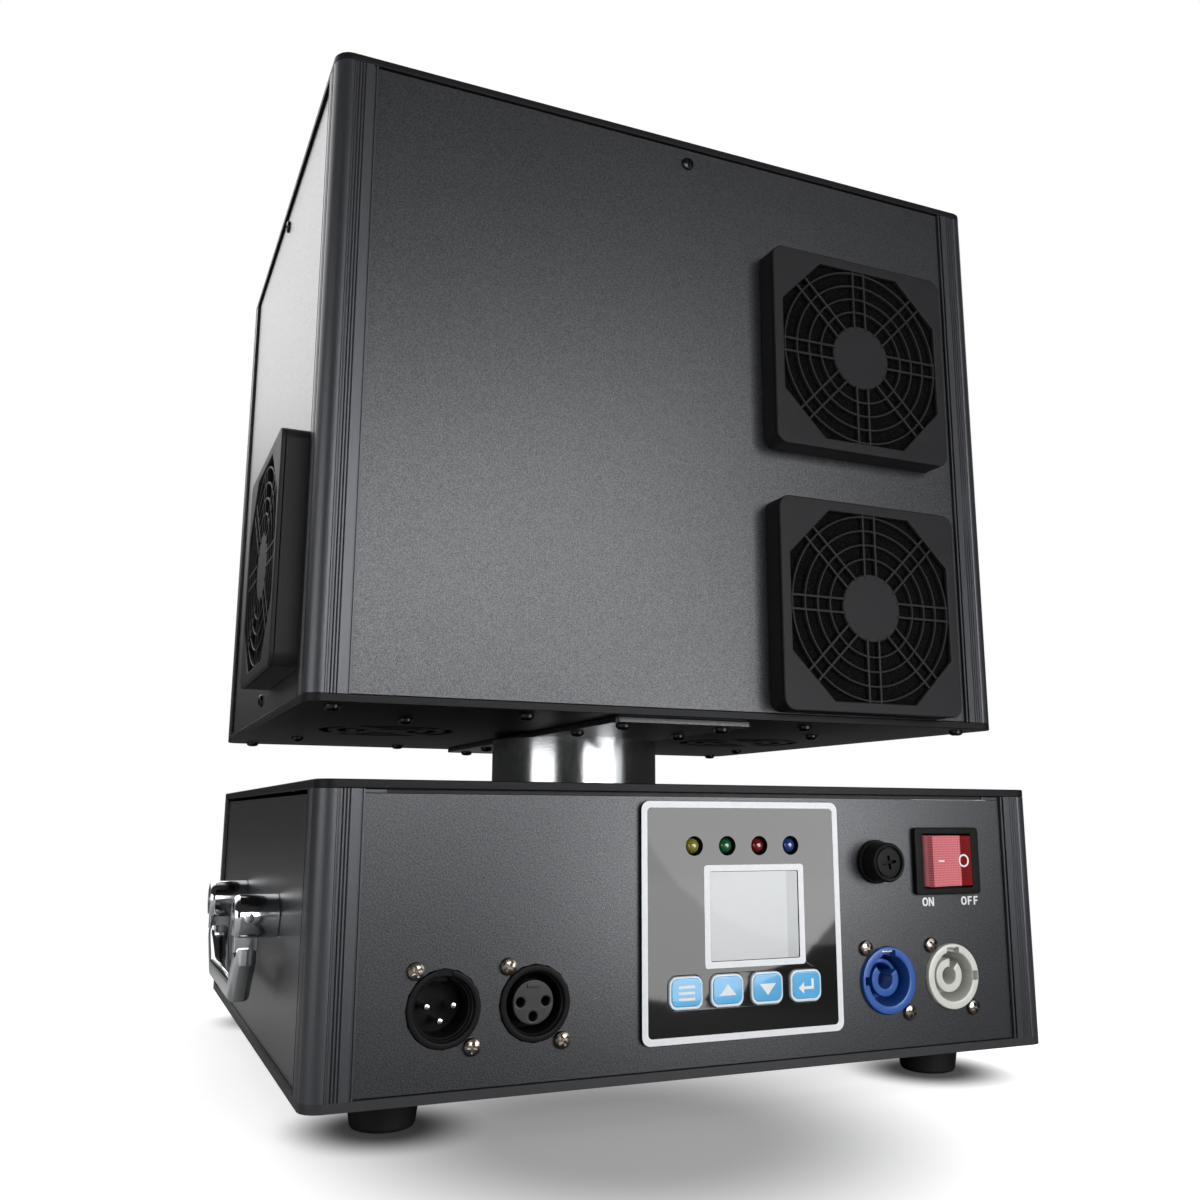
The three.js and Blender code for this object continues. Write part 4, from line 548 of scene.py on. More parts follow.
MAINS_CONTACT = [(0, -12), (2.6, -12), (2.6, -8), (1.9, -8), (1.9, -11), (0, -11)]
BLUE_NOTCH = ((2, 3, 6), (-10.2, 0.2, 1.4), 0.2)
GREY_NOTCH = ((2.4, 3.5, 5), (10.4, 0, 1.4), 0.2)


def on_front(x, z, spin=0):
    """A spot on the control panel."""
    return facing("front", x, PANEL_FACE, z, spin)


def block(size, centre=(0, 0, 0), edge=0.0):
    """A brick of a size about a centre, its edges rounded where an edge is given."""
    bpy.ops.object.select_all(action="DESELECT")
    bpy.ops.mesh.primitive_cube_add(size=1)
    brick = bpy.context.object
    brick.data.transform(Matrix.Translation(centre) @ Matrix.Diagonal((*size, 1)))
    if edge:
        rounding = brick.modifiers.new("edge", "BEVEL")
        rounding.width, rounding.segments = edge, 2
        bpy.ops.object.modifier_apply(modifier="edge")
    return brick


def cut(piece, cutter):
    """Takes a cutter's shape out of a piece, and the cutter away."""
    pick(piece)
    bite = piece.modifiers.new("cut", "BOOLEAN")
    bite.object, bite.solver = cutter, "EXACT"
    bpy.ops.object.modifier_apply(modifier="cut")
    bpy.data.objects.remove(cutter)


def arc(radius, start, end, steps):
    """Points on a circle from one angle to another."""
    angles = [math.radians(start + (end - start) * i / steps) for i in range(steps + 1)]
    return [(radius * math.cos(a), radius * math.sin(a)) for a in angles]


def ring(radius, sides=40, x=0, y=0):
    angles = [2 * math.pi * i / sides for i in range(sides)]
    return [(x + radius * math.cos(a), y + radius * math.sin(a)) for a in angles]


def box_outline(width, height, round_, x=0, y=0):
    """A rectangle with round corners, as a flat outline about a point."""
    points = []
    for corner, (sx, sy) in enumerate(((1, 1), (-1, 1), (-1, -1), (1, -1))):
        cx, cy = x + sx * (width / 2 - round_), y + sy * (height / 2 - round_)
        points += [(cx + dx, cy + dy) for dx, dy in arc(round_, 90 * corner, 90 * corner + 90, 8)]
    return points


def arc_outline(outer, inner, start, end, steps=28):
    """A band between two radii from one angle to another, as a flat outline."""
    return arc(outer, start, end, steps) + arc(inner, start, end, steps)[::-1]


def pan_screw(radius=2.9, height=2.0):
    """A pan-head screw with a cross recess, standing on z = 0, drawn once and copied."""
    dome = [(1, 0.42), (0.9, 0.72), (0.62, 0.93), (0.25, 1), (0, 1)]
    profile = [(0, -0.3), (radius, -0.3)] + [(radius * x, height * z) for x, z in dome]
    head = lathed("screw", profile, 24)
    reach, width = radius * 1.3, radius * 0.36
    cut(head, block((reach, width, height), (0, 0, height)))
    cut(head, block((width, reach, height), (0, 0, height)))
    return head


moulded_black = dappled(
    "moulded_black_plastic", ("161617", "131314", "1a1a1b"), 0.42, 0.12, (8,), (0.012, 0.25), shine=0.06)
silver_pin = dappled("silvered_contact", ("c9cacb", "b9babb", "dadbdc"), 0.2, 0.1, (1,), metallic=1.0)
insert_grey = dappled("contact_insert", ("232325", "1f1f21", "2a2a2c"), 0.4, 0.15, (2,), shine=0.35)
mains_blue = dappled(
    "blue_mains_moulding", ("254f98", "214a90", "2a56a2"), 0.34, 0.12, (6,), (0.01, 0.3), shine=0.35)
mains_grey = dappled("light_grey_mains_moulding", ("c6c7c0", "bfc0b9", "cecfc8"), 0.36, 0.12, (6,), (0.01, 0.3))
screw_nickel = dappled("bronzed_screw", ("857c75", "766d66", "a0968d"), 0.24, 0.12, (1.6,), metallic=1.0)
screw_black = dappled("blackened_screw", ("1c1c1e", "151517", "262629"), 0.25, 0.1, (1.6,), metallic=0.6)

socket = lathed("socket", DATA_BARREL, 48)
cut(socket, block((LATCH_GAP, 3.6, 4), (0, 11.2, 2.4)))
sleeve = lathed("sleeve", SLEEVE, 48)
cut(sleeve, block((LATCH_GAP, 3, 30), (0, 9.4, 0)))
keeper = block((4.6, 1.5, 9), (0, 8.6, -8.2), 0.3)
place = on_front(DATA_IN, SOCKET_LEVEL)
socket = joined([socket, sleeve, keeper])
fitted(socket, "data_in_barrel", place, moulded_black, "base", "data_in_socket")
pins = [moved(lathed("pin", PIN, 16), x, y) for x, y in PIN_SPOTS]
fitted(joined(pins), "data_in_pins", place, silver_pin, "base")

socket = lathed("socket", DATA_BARREL, 48)
place = on_front(DATA_OUT, SOCKET_LEVEL)
fitted(socket, "data_out_barrel", place, moulded_black, "base", "data_out_socket")
holes = [ring(1.5, 20, x, y) for x, y in PIN_SPOTS]
insert = moved(outlined("insert", [ring(7.2, 48), *holes], 11, 0.45, 3), z=-7.1)
latch = block((4.4, 1.6, 0.5), (0, 5.4, -1.5), 0.2)
fitted(joined([insert, latch]), "data_out_insert", place, insert_grey, "base")


def mains_socket(name, x, made, core_radii, core_arc, step_radii, step_arc, notch):
    """A locking mains socket: a notch at the top and at one side, and a hollow core with a gap."""
    place = on_front(x, SOCKET_LEVEL)
    barrel = lathed("socket", MAINS_BARREL, 64)
    cut(barrel, block((6, 4, 6), (0, 8.9, 1.4), 0.3))
    cut(barrel, block(*notch))
    core = moved(outlined("core", [arc_outline(*core_radii, *core_arc)], 10.6, 0.45), z=-6.4)
    step = moved(outlined("step", [arc_outline(*step_radii, *step_arc)], 8, 0.3), z=-7.8)
    fitted(joined([barrel, core, step]), name + "_barrel", place, made, "base", name + "_socket")
    contact = lathed("contact", MAINS_CONTACT, 24)
    latch = block((4.8, 0.7, 2.4), (0, 10.4, -0.5), 0.15)
    fitted(joined([contact, latch]), name + "_contact", place, silver_pin, "base")


mains_socket(
    "power_in", POWER_IN, mains_blue, (6.2, 3.3), (127, 394), (7.4, 5.9), (25, 125), BLUE_NOTCH)
mains_socket(
    "power_out", POWER_OUT, mains_grey, (6.3, 3.2), (83, 408), (7.6, 6), (100, 215), GREY_NOTCH)

screw = pan_screw()
for index, x in enumerate(SOCKET_SPOTS):
    for end, (dx, dz) in enumerate(SCREW_OFFSETS):
        place = on_front(x + dx, SOCKET_LEVEL + dz, spin=25 + 37 * index + 60 * end)
        fitted(copied(screw), "socket_screw_%d_%d" % (index, end), place, screw_nickel, "base")


# Stud marks: two faint hexagons that show through the front panel's powder coat,
# where studs are pressed into the steel sheet from behind.
STUD_SPOTS = ((-48.3, 91), (-49, 38))

for index, (x, z) in enumerate(STUD_SPOTS):
    mark = outlined("mark", [ring(3.7, 6), ring(3.2, 6)], 0.1, 0.02, 1)
    fitted(mark, "stud_mark_%d" % index, on_front(x, z, spin=12), powder_coat, "base")


# Fuse holder: a black moulded flange against the panel, and the screwed cap that covers the fuse.
# The cap is turned with a coin or a driver in its cross slot.
FUSE_SPOT = (67.0, 84.4)
CAP_TOP = 9.4
FLANGE = [(4.2, -14), (6.4, -14), (6.4, 0.3), (8.1, 0.3), (8.2, 1.2), (8.1, 1.9), (7.8, 2.1), (4.2, 2.1)]
FUSE_CAP = [
    (0, -11), (3.8, -11), (3.8, 2.4), (7.3, 2.4), (7.35, 3.4), (7.3, 8.6), (7.0, 9.2), (6.6, 9.4), (6.1, 9.3),
    (5.9, 8.1), (5.5, 8.1), (5.3, 8.9), (4.9, 9.05), (0, 9.05),
]
CAP_SLOTS = ((8, 6.2), (98, 5.2))

place = on_front(*FUSE_SPOT)
flange = lathed("flange", FLANGE, 48)
fitted(flange, "fuse_flange", place, moulded_black, "base", "fuse_holder")
cap = lathed("cap", FUSE_CAP, 56)
for spin, reach in CAP_SLOTS:
    cut(cap, moved(block((reach, 1.15, 4), (0, 0, CAP_TOP)), spin=spin))
fitted(cap, "fuse_screw_cap", place, moulded_black, "fuse_cap", "fuse_cap")


# Mains switch: a black snap-in bezel and a clear red rocker with a fine inner grid and white moulded marks.
# The rocker tilts on an upright pivot; at rest its right side is pressed in.
SWITCH_SPOT = (100.6, 84.4)
ROCKER_SIZE = (22.4, 19.4)
ROCKER_DEPTH = 9
ROCKER_PIVOT = 4
ROCKER_TILT = 9
PRESSED_FROM = 6.6
GRID_PITCH = 0.9
GRID_EDGE = (0.2, 1.0)
MARK_LIFT = 0.02
MARK_SHEET = (0.16, 0.02, 1)

bezel = outlined("bezel", [box_outline(31.4, 25.6, 1.4), box_outline(23.8, 20.6, 0.8)], 2.0, 0.45)
skirt = outlined("skirt", [box_outline(27.6, 21.8, 0.4), box_outline(25.3, 20.5, 0.2)], 15, 0.05)
frame_parts = [moved(bezel, z=1.3), moved(skirt, z=-7.8)]
place = on_front(*SWITCH_SPOT)
fitted(joined(frame_parts), "switch_frame", place, moulded_black, "base", "switch_bezel")

clear_red, shader, signal = finish("clear_red_rocker", "c01a1e", 0.34, shine=0.12)
along, upright = where(signal).axis(0), where(signal).axis(2)
turns = 2 * math.pi / (GRID_PITCH * MM)
lines = either(signal.math("SINE", along * turns, 0), signal.math("SINE", upright * turns, 0))
grid = lines.between(*GRID_EDGE)
# Painted light and shade: the raised left part is painted a lighter red as if lit, the pressed right part a
# darker red as if shaded.
painted_lit_red = blended(grid, paint("aa5258"), paint("c3777c"))
painted_shaded_red = blended(grid, paint("580205"), paint("6c0409"))
red = blended(along > (SWITCH_SPOT[0] + PRESSED_FROM) * MM, painted_lit_red, painted_shaded_red)
red.into(shader, "Base Color")
# The red also glows faintly: a painted glow, as no lamp lights the rocker.
red.into(shader, "Emission Color")
shader.inputs["Emission Strength"].default_value = 0.2
bumped(shader, lines, 0.02)

tilt = math.radians(ROCKER_TILT)
half = ROCKER_SIZE[0] / 2
valley = ROCKER_PIVOT + 2
rise = half * math.tan(tilt)
upper_side = [(half, valley + rise), (0, valley), (-half, valley + rise)]
rocker_side = [(x, z - ROCKER_DEPTH) for x, z in reversed(upper_side)] + upper_side
swing = place @ Matrix.Translation((0, 0, -ROCKER_PIVOT)) @ Matrix.Rotation(tilt, 4, "Y")
rocker = outlined("rocker", [rocker_side], ROCKER_SIZE[1], 0.35)
rocker.data.transform(Matrix.Rotation(math.pi / 2, 4, "X"))
fitted(rocker, "rocker_key", swing, clear_red, "rocker", "switch_rocker")

white_print = dappled("white_print", ("dddfe2", "d6d8dc", "e3e5e8"), 0.5, 0.1, (2,), shine=0.3)
bar_mark = outlined("mark", [box_outline(4.1, 0.6, 0.2)], *MARK_SHEET)
ring_mark = outlined("mark", [ring(2.5, 32), ring(1.85, 32)], *MARK_SHEET)
for name, mark, x in (("bar", bar_mark, -5.6), ("ring", ring_mark, 7)):
    lift = valley + abs(x) * math.tan(tilt) + MARK_LIFT
    place = swing @ Matrix.Translation((x, 0, lift)) @ Matrix.Rotation(math.copysign(tilt, -x), 4, "Y")
    fitted(mark, "rocker_%s_mark" % name, place, white_print, "rocker")


# Switch words: ON and OFF in plain bold capitals under the switch,
# screen-printed in white on the powder coat.
LETTER_STEP = 2.95
LETTERS = {
    "O": [box_outline(2.6, 3.3, 1.25), box_outline(1.3, 2.0, 0.6)],
    "N": [[
        (-1.3, -1.65), (-0.62, -1.65), (-0.62, 0.5), (0.58, -1.65), (1.3, -1.65), (1.3, 1.65), (0.62, 1.65),
        (0.62, -0.5), (-0.58, 1.65), (-1.3, 1.65),
    ]],
    "F": [[
        (-1.0, -1.65), (-0.3, -1.65), (-0.3, -0.32), (0.85, -0.32), (0.85, 0.28), (-0.3, 0.28), (-0.3, 1.04),
        (1.05, 1.04), (1.05, 1.65), (-1.0, 1.65),
    ]],
}
WORD_SPOTS = {"ON": (91.7, 68.9), "OFF": (112.2, 68.9)}
PRINT_LIFT = 0.05

for word, (x, z) in WORD_SPOTS.items():
    letters = []
    for index, letter in enumerate(word):
        shift = (index - (len(word) - 1) / 2) * LETTER_STEP
        letters.append(moved(outlined("letter", LETTERS[letter], 0.08, 0.01, 1), shift))
    place = facing("front", x, PANEL_FACE - PRINT_LIFT, z)
    fitted(joined(letters), "switch_word_" + word.lower(), place, white_print, "base")


# Display: a glossy black film over the fascia, with white printed lines, a silver screen and four small lamps.
# The printed circuit board behind it carries the screen, the lamps and the switches of the four keys.
FILM_SPOT = (8.2, 65.5)
FILM_SIZE = 82
FILM_TOP = 1.7
KEY_PLACES = (-24.45, -8.15, 8.15, 24.45)
KEY_ROW = -24.3
KEY_SIZE = (13.1, 11.1)
KEY_GAP = 0.6
LAMP_PLACES = (-20.1, -6.7, 6.7, 20.1)
LAMP_ROW = 25.3
LAMP_HOLE = 3.4
LAMP_LENS = 2.8
LAMP_COLOURS = {"yellow": "77721c", "green": "145430", "red": "641216", "blue": "1c3a74"}
SCREEN_CENTRE = (4.4, 0.9)
SCREEN_SIZE = (41, 35)
SCREEN_EDGE = (0.0258, 0.0266)
WINDOW = (36.8, 30.8)
LINE_SHEET = (0.1, 0.02, 1)

film_black = dappled("glossy_black_film", ("070708", "060607", "0b0b0d"), 0.05, 0.03, (30,))
screen_silver, shader, signal = finish("silver_screen", "a2a5a6", 0.3, coat=0.6)
clouded = noise(signal, 14, 3)
panel_grey = blended(clouded, paint("96999c"), paint("a1a4a6"))
edge_strip = where(signal).axis(0).between(*SCREEN_EDGE)
blended(edge_strip, panel_grey, paint("868a8c")).into(shader, "Base Color")
(0.3 + clouded * 0.1).into(shader, "Roughness")
circuit_green = dappled("circuit_board", ("20462c", "1b3f27", "295536"), 0.4, 0.2, (2,))

front = on_front(*FILM_SPOT)
film_lines = [box_outline(FILM_SIZE, FILM_SIZE, 3.2)]
film_lines += [box_outline(KEY_SIZE[0] + KEY_GAP, KEY_SIZE[1] + KEY_GAP, 3.3, x, KEY_ROW) for x in KEY_PLACES]
film_lines += [ring(LAMP_HOLE, 32, x, LAMP_ROW) for x in LAMP_PLACES]
film_lines.append(box_outline(*WINDOW, 0.6, *SCREEN_CENTRE))
film = moved(outlined("film", film_lines, 1.4, 0.12, 1), z=1.0)
fitted(film, "display_film", front, film_black, "base", "display_unit")
board = moved(outlined("board", [box_outline(72, 72, 0.5)], 1.6, 0.1, 1), z=-8.3)
fitted(board, "display_board", front, circuit_green, "base")
screen = block((*SCREEN_SIZE, 7.2), (*SCREEN_CENTRE, -3.9), 0.1)
screen_glass = block((WINDOW[0] - 0.1, WINDOW[1] - 0.1, 1.8), (*SCREEN_CENTRE, 0.5), 0.1)
fitted(joined([screen, screen_glass]), "display_screen", front, screen_silver, "base")
border = outlined("border", [box_outline(81.9, 81.9, 3.1), box_outline(77.4, 77.4, 1.6)], *LINE_SHEET)
window_lines = [box_outline(41.6, 35.4, 1.2, *SCREEN_CENTRE)]
window_lines.append(box_outline(WINDOW[0] + 0.2, WINDOW[1] + 0.2, 0.6, *SCREEN_CENTRE))
white_lines = moved(joined([border, outlined("window", window_lines, *LINE_SHEET)]), z=FILM_TOP + 0.03)
fitted(white_lines, "display_white_lines", front, white_print, "base")

dome = [(x, FILM_TOP - 2.6 + z) for x, z in arc(LAMP_LENS, 0, 90, 9)]
for x, (name, code) in zip(LAMP_PLACES, LAMP_COLOURS.items()):
    lens = dappled(name + "_lamp_lens", (code, code, code), 0.12, 0.06, (1.2,), coat=0.8)
    lamp_body = lathed("lamp", [(0, -7.5), (LAMP_LENS, -7.5), *dome], 32)
    fitted(moved(lamp_body, x, LAMP_ROW), name + "_lamp", front, lens, "base")
holder = [(LAMP_HOLE, -7.4), (4.6, -7.4), (4.6, 0.25), (LAMP_HOLE, 0.25)]
holders = [moved(lathed("holder", holder, 32), x, LAMP_ROW) for x in LAMP_PLACES]
fitted(joined(holders), "lamp_holders", front, moulded_black, "base")


# Push buttons: four square keys moulded in clear pale blue over a white core, which shows as a rim.
# Each slides in the film's cut-out and presses a switch on the board; bars and arrows mark what it does.
KEY_TOP = 3.0
KEY_RIM = 0.7
KEY_STEM = [(0, -5.9), (2.2, -5.9), (2.2, -1), (0, -1)]
KEY_SIGNS = {
    "menu": [box_outline(6.4, 0.9, 0.2, 0, y) for y in (2, 0, -2)],
    "up": [[(-3.4, -1.6), (0, 2.3), (3.4, -1.6)]],
    "down": [[(-3.4, 1.6), (3.4, 1.6), (0, -2.3)]],
    "enter": [[
        (-3.4, -0.7), (-1.1, -2.7), (-1.1, -1.2), (3.1, -1.2), (3.1, 2.4), (2.1, 2.4), (2.1, -0.2),
        (-1.1, -0.2), (-1.1, 1.3),
    ]],
}

key_blue = dappled("pale_blue_key", ("3f9ed2", "3896cb", "4ba9dc"), 0.2, 0.1, (9,), coat=0.5)
key_white = dappled("white_key_core", ("cfd8dc", "c6cfd4", "d8e0e3"), 0.35, 0.1, (3,))
face_line = box_outline(KEY_SIZE[0] - 2 * KEY_RIM, KEY_SIZE[1] - 2 * KEY_RIM - 0.3, 2.5)

for x, (name, sign) in zip(KEY_PLACES, KEY_SIGNS.items()):
    button = "button_" + name
    core = moved(outlined("core", [box_outline(*KEY_SIZE, 3)], 4.2, 0.4), x, KEY_ROW, KEY_TOP - 2.4)
    stem = moved(lathed("stem", KEY_STEM, 20), x, KEY_ROW)
    fitted(joined([core, stem]), "key_core_" + name, front, key_white, button, button)
    face = moved(outlined("face", [face_line], 1.2, 0.35, 3), x, KEY_ROW + 0.2, KEY_TOP - 0.6)
    fitted(face, "key_face_" + name, front, key_blue, button)
    mark = moved(outlined("sign", sign, 0.12, 0.02, 1), x, KEY_ROW, KEY_TOP - 0.04)
    fitted(mark, "key_sign_" + name, front, white_print, button)


# Drop handles: chrome-plated cast lugs, screwed on from behind, with a faceted bail that hangs on their pins
# and swings out to the level to carry the base.
HANDLE_SIDES = {"left": (-144.0, 1), "right": (144.0, -1)}
HANDLE_SPOT = (-18, 65)
LUG_REACH = 48
PIVOT_OUT = 10.8
LUG = [(0, 0.3), (7.8, 0.3), (7.8, 13.6), (7.5, 14.8), (6.8, 15.6), (0, 15.7)]
PIVOT_PIN = [(0, -4.5), (1.5, -4.5), (1.5, 4.5), (0, 4.5)]
RIVET = [(0, 7.2), (1.7, 7.2), (1.7, 7.9), (1.4, 8.15), (0, 8.3)]
BAIL_EYE = [(1.8, -2.5), (4.2, -2.5), (4.6, -2.1), (4.6, 2.1), (4.2, 2.5), (1.8, 2.5)]
BAIL_HALF = 4

chrome = dappled("bright_chrome", ("d8dadd", "cfd1d4", "e0e2e4"), 0.1, 0.1, (7, 3), (0.01, 1.5), metallic=1.0)


def laid(piece, x=0, z=0, turn=90):
    """Lays an upright drawing down along its x axis, at a place."""
    piece.data.transform(Matrix.Translation((x, 0, z)) @ Matrix.Rotation(math.radians(turn), 4, "Y"))
    return piece


def bail_band(reach):
    """The bail's centre line moved sideways by a reach: two legs, two slanted corners and the grip."""
    lean = reach * math.tan(math.radians(22.5))
    leg = LUG_REACH + reach
    right = [(36 + lean, -27 - reach), (leg, -15 - lean), (leg, -11)]
    return [(-x, y) for x, y in reversed(right)] + right


for side, (face, forward) in HANDLE_SIDES.items():
    for end, toward in (("front", 1), ("back", -1)):
        end = "%s_%s" % (side, end)
        spot = facing(side, face, HANDLE_SPOT[0] - toward * LUG_REACH, HANDLE_SPOT[1])
        lug = lathed("lug", LUG, 40)
        cut(lug, block((5.6, 13.8, 12), (0, -2.0, 11.9)))
        pin = laid(lathed("pin", PIVOT_PIN, 20), z=PIVOT_OUT)
        rivet = laid(lathed("rivet", RIVET, 20), z=PIVOT_OUT, turn=90 * toward * forward)
        lug = joined([lug, pin, rivet])
        fitted(lug, "cast_lug_" + end, spot, chrome, "base", "handle_lug_" + end)
    parts = [outlined("band", [bail_band(BAIL_HALF) + bail_band(-BAIL_HALF)[::-1]], 8, 2.2)]
    for x in (-LUG_REACH, LUG_REACH):
        parts += [laid(lathed("eye", BAIL_EYE, 28), x), block((5, 9.5, 8.4), (x, -7.6, 0), 0.4)]
    name = "bail_" + side
    place = facing(side, face, *HANDLE_SPOT) @ Matrix.Translation((0, 0, PIVOT_OUT))
    fitted(joined(parts), name, place, chrome, name, "handle_" + name)


# Pan drive inside the base: a square stepper motor in its enamelled case with bare end caps,
# its alloy pulley, and a flat rubber belt that runs round the tube's big pulley.
MOTOR_CAPS = (0.026, 0.05)

belt_rubber = dappled("belt_rubber", ("161616", "121212", "1e1e1e"), 0.7, 0.2, (1,))
machined = dappled(
    "machined_alloy", ("9a9c9e", "8c8e90", "aaacae"), 0.38, 0.2, (3, 3), (0.01, 0.3), metallic=1.0)
motor_steel, shader, signal = finish("motor_case", "3a3b3d", 0.4, metallic=0.7)
level = where(signal).axis(2)
caps = either(level < MOTOR_CAPS[0], level > MOTOR_CAPS[1])
blended(caps, paint("1d1e20"), paint("9b9d9f")).into(shader, "Base Color")
dress("pan_motor", motor_steel)
dress("motor_pulley", machined)
dress("pan_belt", belt_rubber)


# Base top plate: flat sheet on the posts, with a hole for the neck and the alloy bearing housing under it.
# A black rubber strip fills the gap between it and the control panel as painted shade, and two tabs lie in that
# gap too.
PLATE = 3
BASE_ROOF = 109.5
TUBE_HOLE = 39.6
HOUSING = [
    (39.6, 88.2), (56, 88.2), (56, 109.4), (39.6, 109.4), (39.6, 101.5), (46.6, 101.5), (46.6, 90.9),
    (39.6, 90.9),
]
TAB_SPANS = ((-129.8, -122.6), (121.2, 129.8))
DECK_SCREWS = ((-52, 0), (52, 0), (0, -52), (0, 52))


def plate(name, size, holes, edge):
    """A flat sheet with the posts' round corners, its underside on z = 0."""
    return moved(outlined(name, [box_outline(*size, POST_ROUND), *holes], PLATE, edge), z=PLATE / 2)


def screwed(name, side, spots, level, body, step, first=0):
    """A screw at each spot on a level, each turned a step further than the last."""
    for index, (x, y) in enumerate(spots):
        place = facing(side, x, y, level, spin=first + step * index)
        fitted(copied(screw), "%s_screw_%d" % (name, index), place, screw_black, body)


plate_coat = dappled(
    "black_plate_coat", ("141416", "101012", "1a1a1d"), 0.45, 0.2, (0.6, 3), (0.08, 0.6, 3), shine=0.12)
upright_place = facing("top", 0, 0, 0)
deck = plate("deck", BASE_SIZE, [ring(TUBE_HOLE, 96)], 0.45)
place = facing("top", 0, 0, BASE_ROOF)
fitted(deck, "base_deck", place, plate_coat, "base", "base_top_plate")
housing = lathed("housing", HOUSING, 64)
fitted(housing, "bearing_housing", upright_place, machined, "base")
# Painted shade: a black strip in the gap under the deck, where only shade would show.
gap_shade_strip = block((243.6, 4.2, 1.3), (-0.7, -138.2, 108.8), 0.05)
fitted(gap_shade_strip, "slot_shade_strip", upright_place, rubber, "base")
for end, (low, high) in enumerate(TAB_SPANS):
    tab = block((high - low, 1.4, 1.2), ((low + high) / 2, PANEL_FACE + 0.7, 108.7), 0.15)
    fitted(tab, "slot_tab_%d" % end, upright_place, powder_coat, "base")
screwed("deck", "top", DECK_SCREWS, BASE_ROOF + PLATE, "base", step=31, first=20)


# Neck: a polished steel tube with a fine drawn grain.
# Its collar turns in the bearing, and its pulley takes the belt.
TUBE = [
    (36, 64.2), (39, 64.2), (39, 68.2), (60, 68.2), (60, 80.2), (39, 80.2), (39, 91.2), (46, 91.2), (46, 101.2),
    (39, 101.2), (39, 136.2), (36, 136.2),
]

polished_tube, shader, signal = finish("polished_tube", "b9bbbd", 0.16, metallic=1.0)
speckle = noise(signal, 0.6, 4)
drawn = noise(signal, 1.2, 3, stretch=(1, 1, 12))
mottled(shader, speckle * 0.6 + drawn * 0.4, "a2a4a6", "cfd1d3", 0.17, 0.2)
bumped(shader, speckle, 0.02)
fitted(lathed("tube", TUBE, 96), "neck", upright_place, polished_tube, "head", "neck_tube")


# Swivel plate: the coated steel strap between the tube's flange and the head's floor,
# bolted to both from below.
STRAP = (60, 230)
STRAP_SHEET = 2.3
STRAP_LEVEL = 136.2
CABLE_HOLE = 22
STRAP_SCREWS = ((-22, -104), (22, -104), (-22, 104), (22, 104), (-24, -62), (24, -62), (-24, 62), (24, 62))

strap = outlined("strap", [box_outline(*STRAP, 2), ring(CABLE_HOLE, 48)], STRAP_SHEET, 0.35)
place = facing("top", 0, 0, STRAP_LEVEL)
strap = moved(strap, z=STRAP_SHEET / 2)
fitted(strap, "swivel_strap", place, powder_coat, "head", "swivel_plate")
screwed("strap", "under", STRAP_SCREWS, STRAP_LEVEL, "head", step=43)


# Head floor: coated sheet with two round fields of air slots that let the fans blow over the spark units.
# Screws hold it to the posts, and the spark units stand on it.
HEAD_SIZE = (295.4, 245.7)
HEAD_FLOOR = 138.5
FLOOR_SCREWS = (
    (-136, -111), (136, -111), (-136, 111), (136, 111), (-121, 60), (-99, -66), (95, -60), (125, 60),
    (-62, 100), (62, 100), (-62, -104), (62, -104),
)
VENT_SPOTS = (-91, 91)
VENT_RADII = (12, 20, 28)
VENT_WIDTH = 4
VENT_BRIDGE = 7

slots = []
for spot in VENT_SPOTS:
    for radius in VENT_RADII:
        spread = 45 - math.degrees(VENT_BRIDGE / 2 / radius)
        outer, inner = radius + VENT_WIDTH / 2, radius - VENT_WIDTH / 2
        for middle in range(0, 360, 90):
            bend = arc_outline(outer, inner, middle - spread, middle + spread, 12)
            slots.append([(spot + x, y) for x, y in bend])
pan = plate("pan", HEAD_SIZE, [ring(CABLE_HOLE, 48), *slots], 0.4)
place = facing("top", 0, 0, HEAD_FLOOR)
fitted(pan, "head_floor", place, plate_coat, "head", "head_bottom_plate")
screwed("floor", "under", FLOOR_SCREWS, HEAD_FLOOR, "head", step=29)


# Corner posts and side panels of the head: the same extrusion and the same coated sheet as on the base.
# One screw near the top of each panel, and on three sides one near its foot, ties it to the frame inside.
HEAD_INSIDE = (141.5, 379.3)
PANEL_SCREWS = (
    ("front", 0, -121.55, 372.6), ("back", 0, 121.55, 372.6), ("left", -146.4, 0, 372.4),
    ("right", 146.4, 0, 372.4), ("left", -146.4, -3, 149.4), ("right", 146.4, -3, 149.4),
    ("back", 0, 121.55, 149.4),
)

corner_posts("head", HEAD_SIZE, HEAD_INSIDE)
for side in PANEL_SIDES:
    dress("head_%s_panel" % side, powder_coat)
small_screw = pan_screw(2.7, 1.5)
for index, spot in enumerate(PANEL_SCREWS):
    place = facing(*spot, spin=33 * index)
    fitted(copied(small_screw), "panel_screw_%d" % index, place, screw_black, "head")


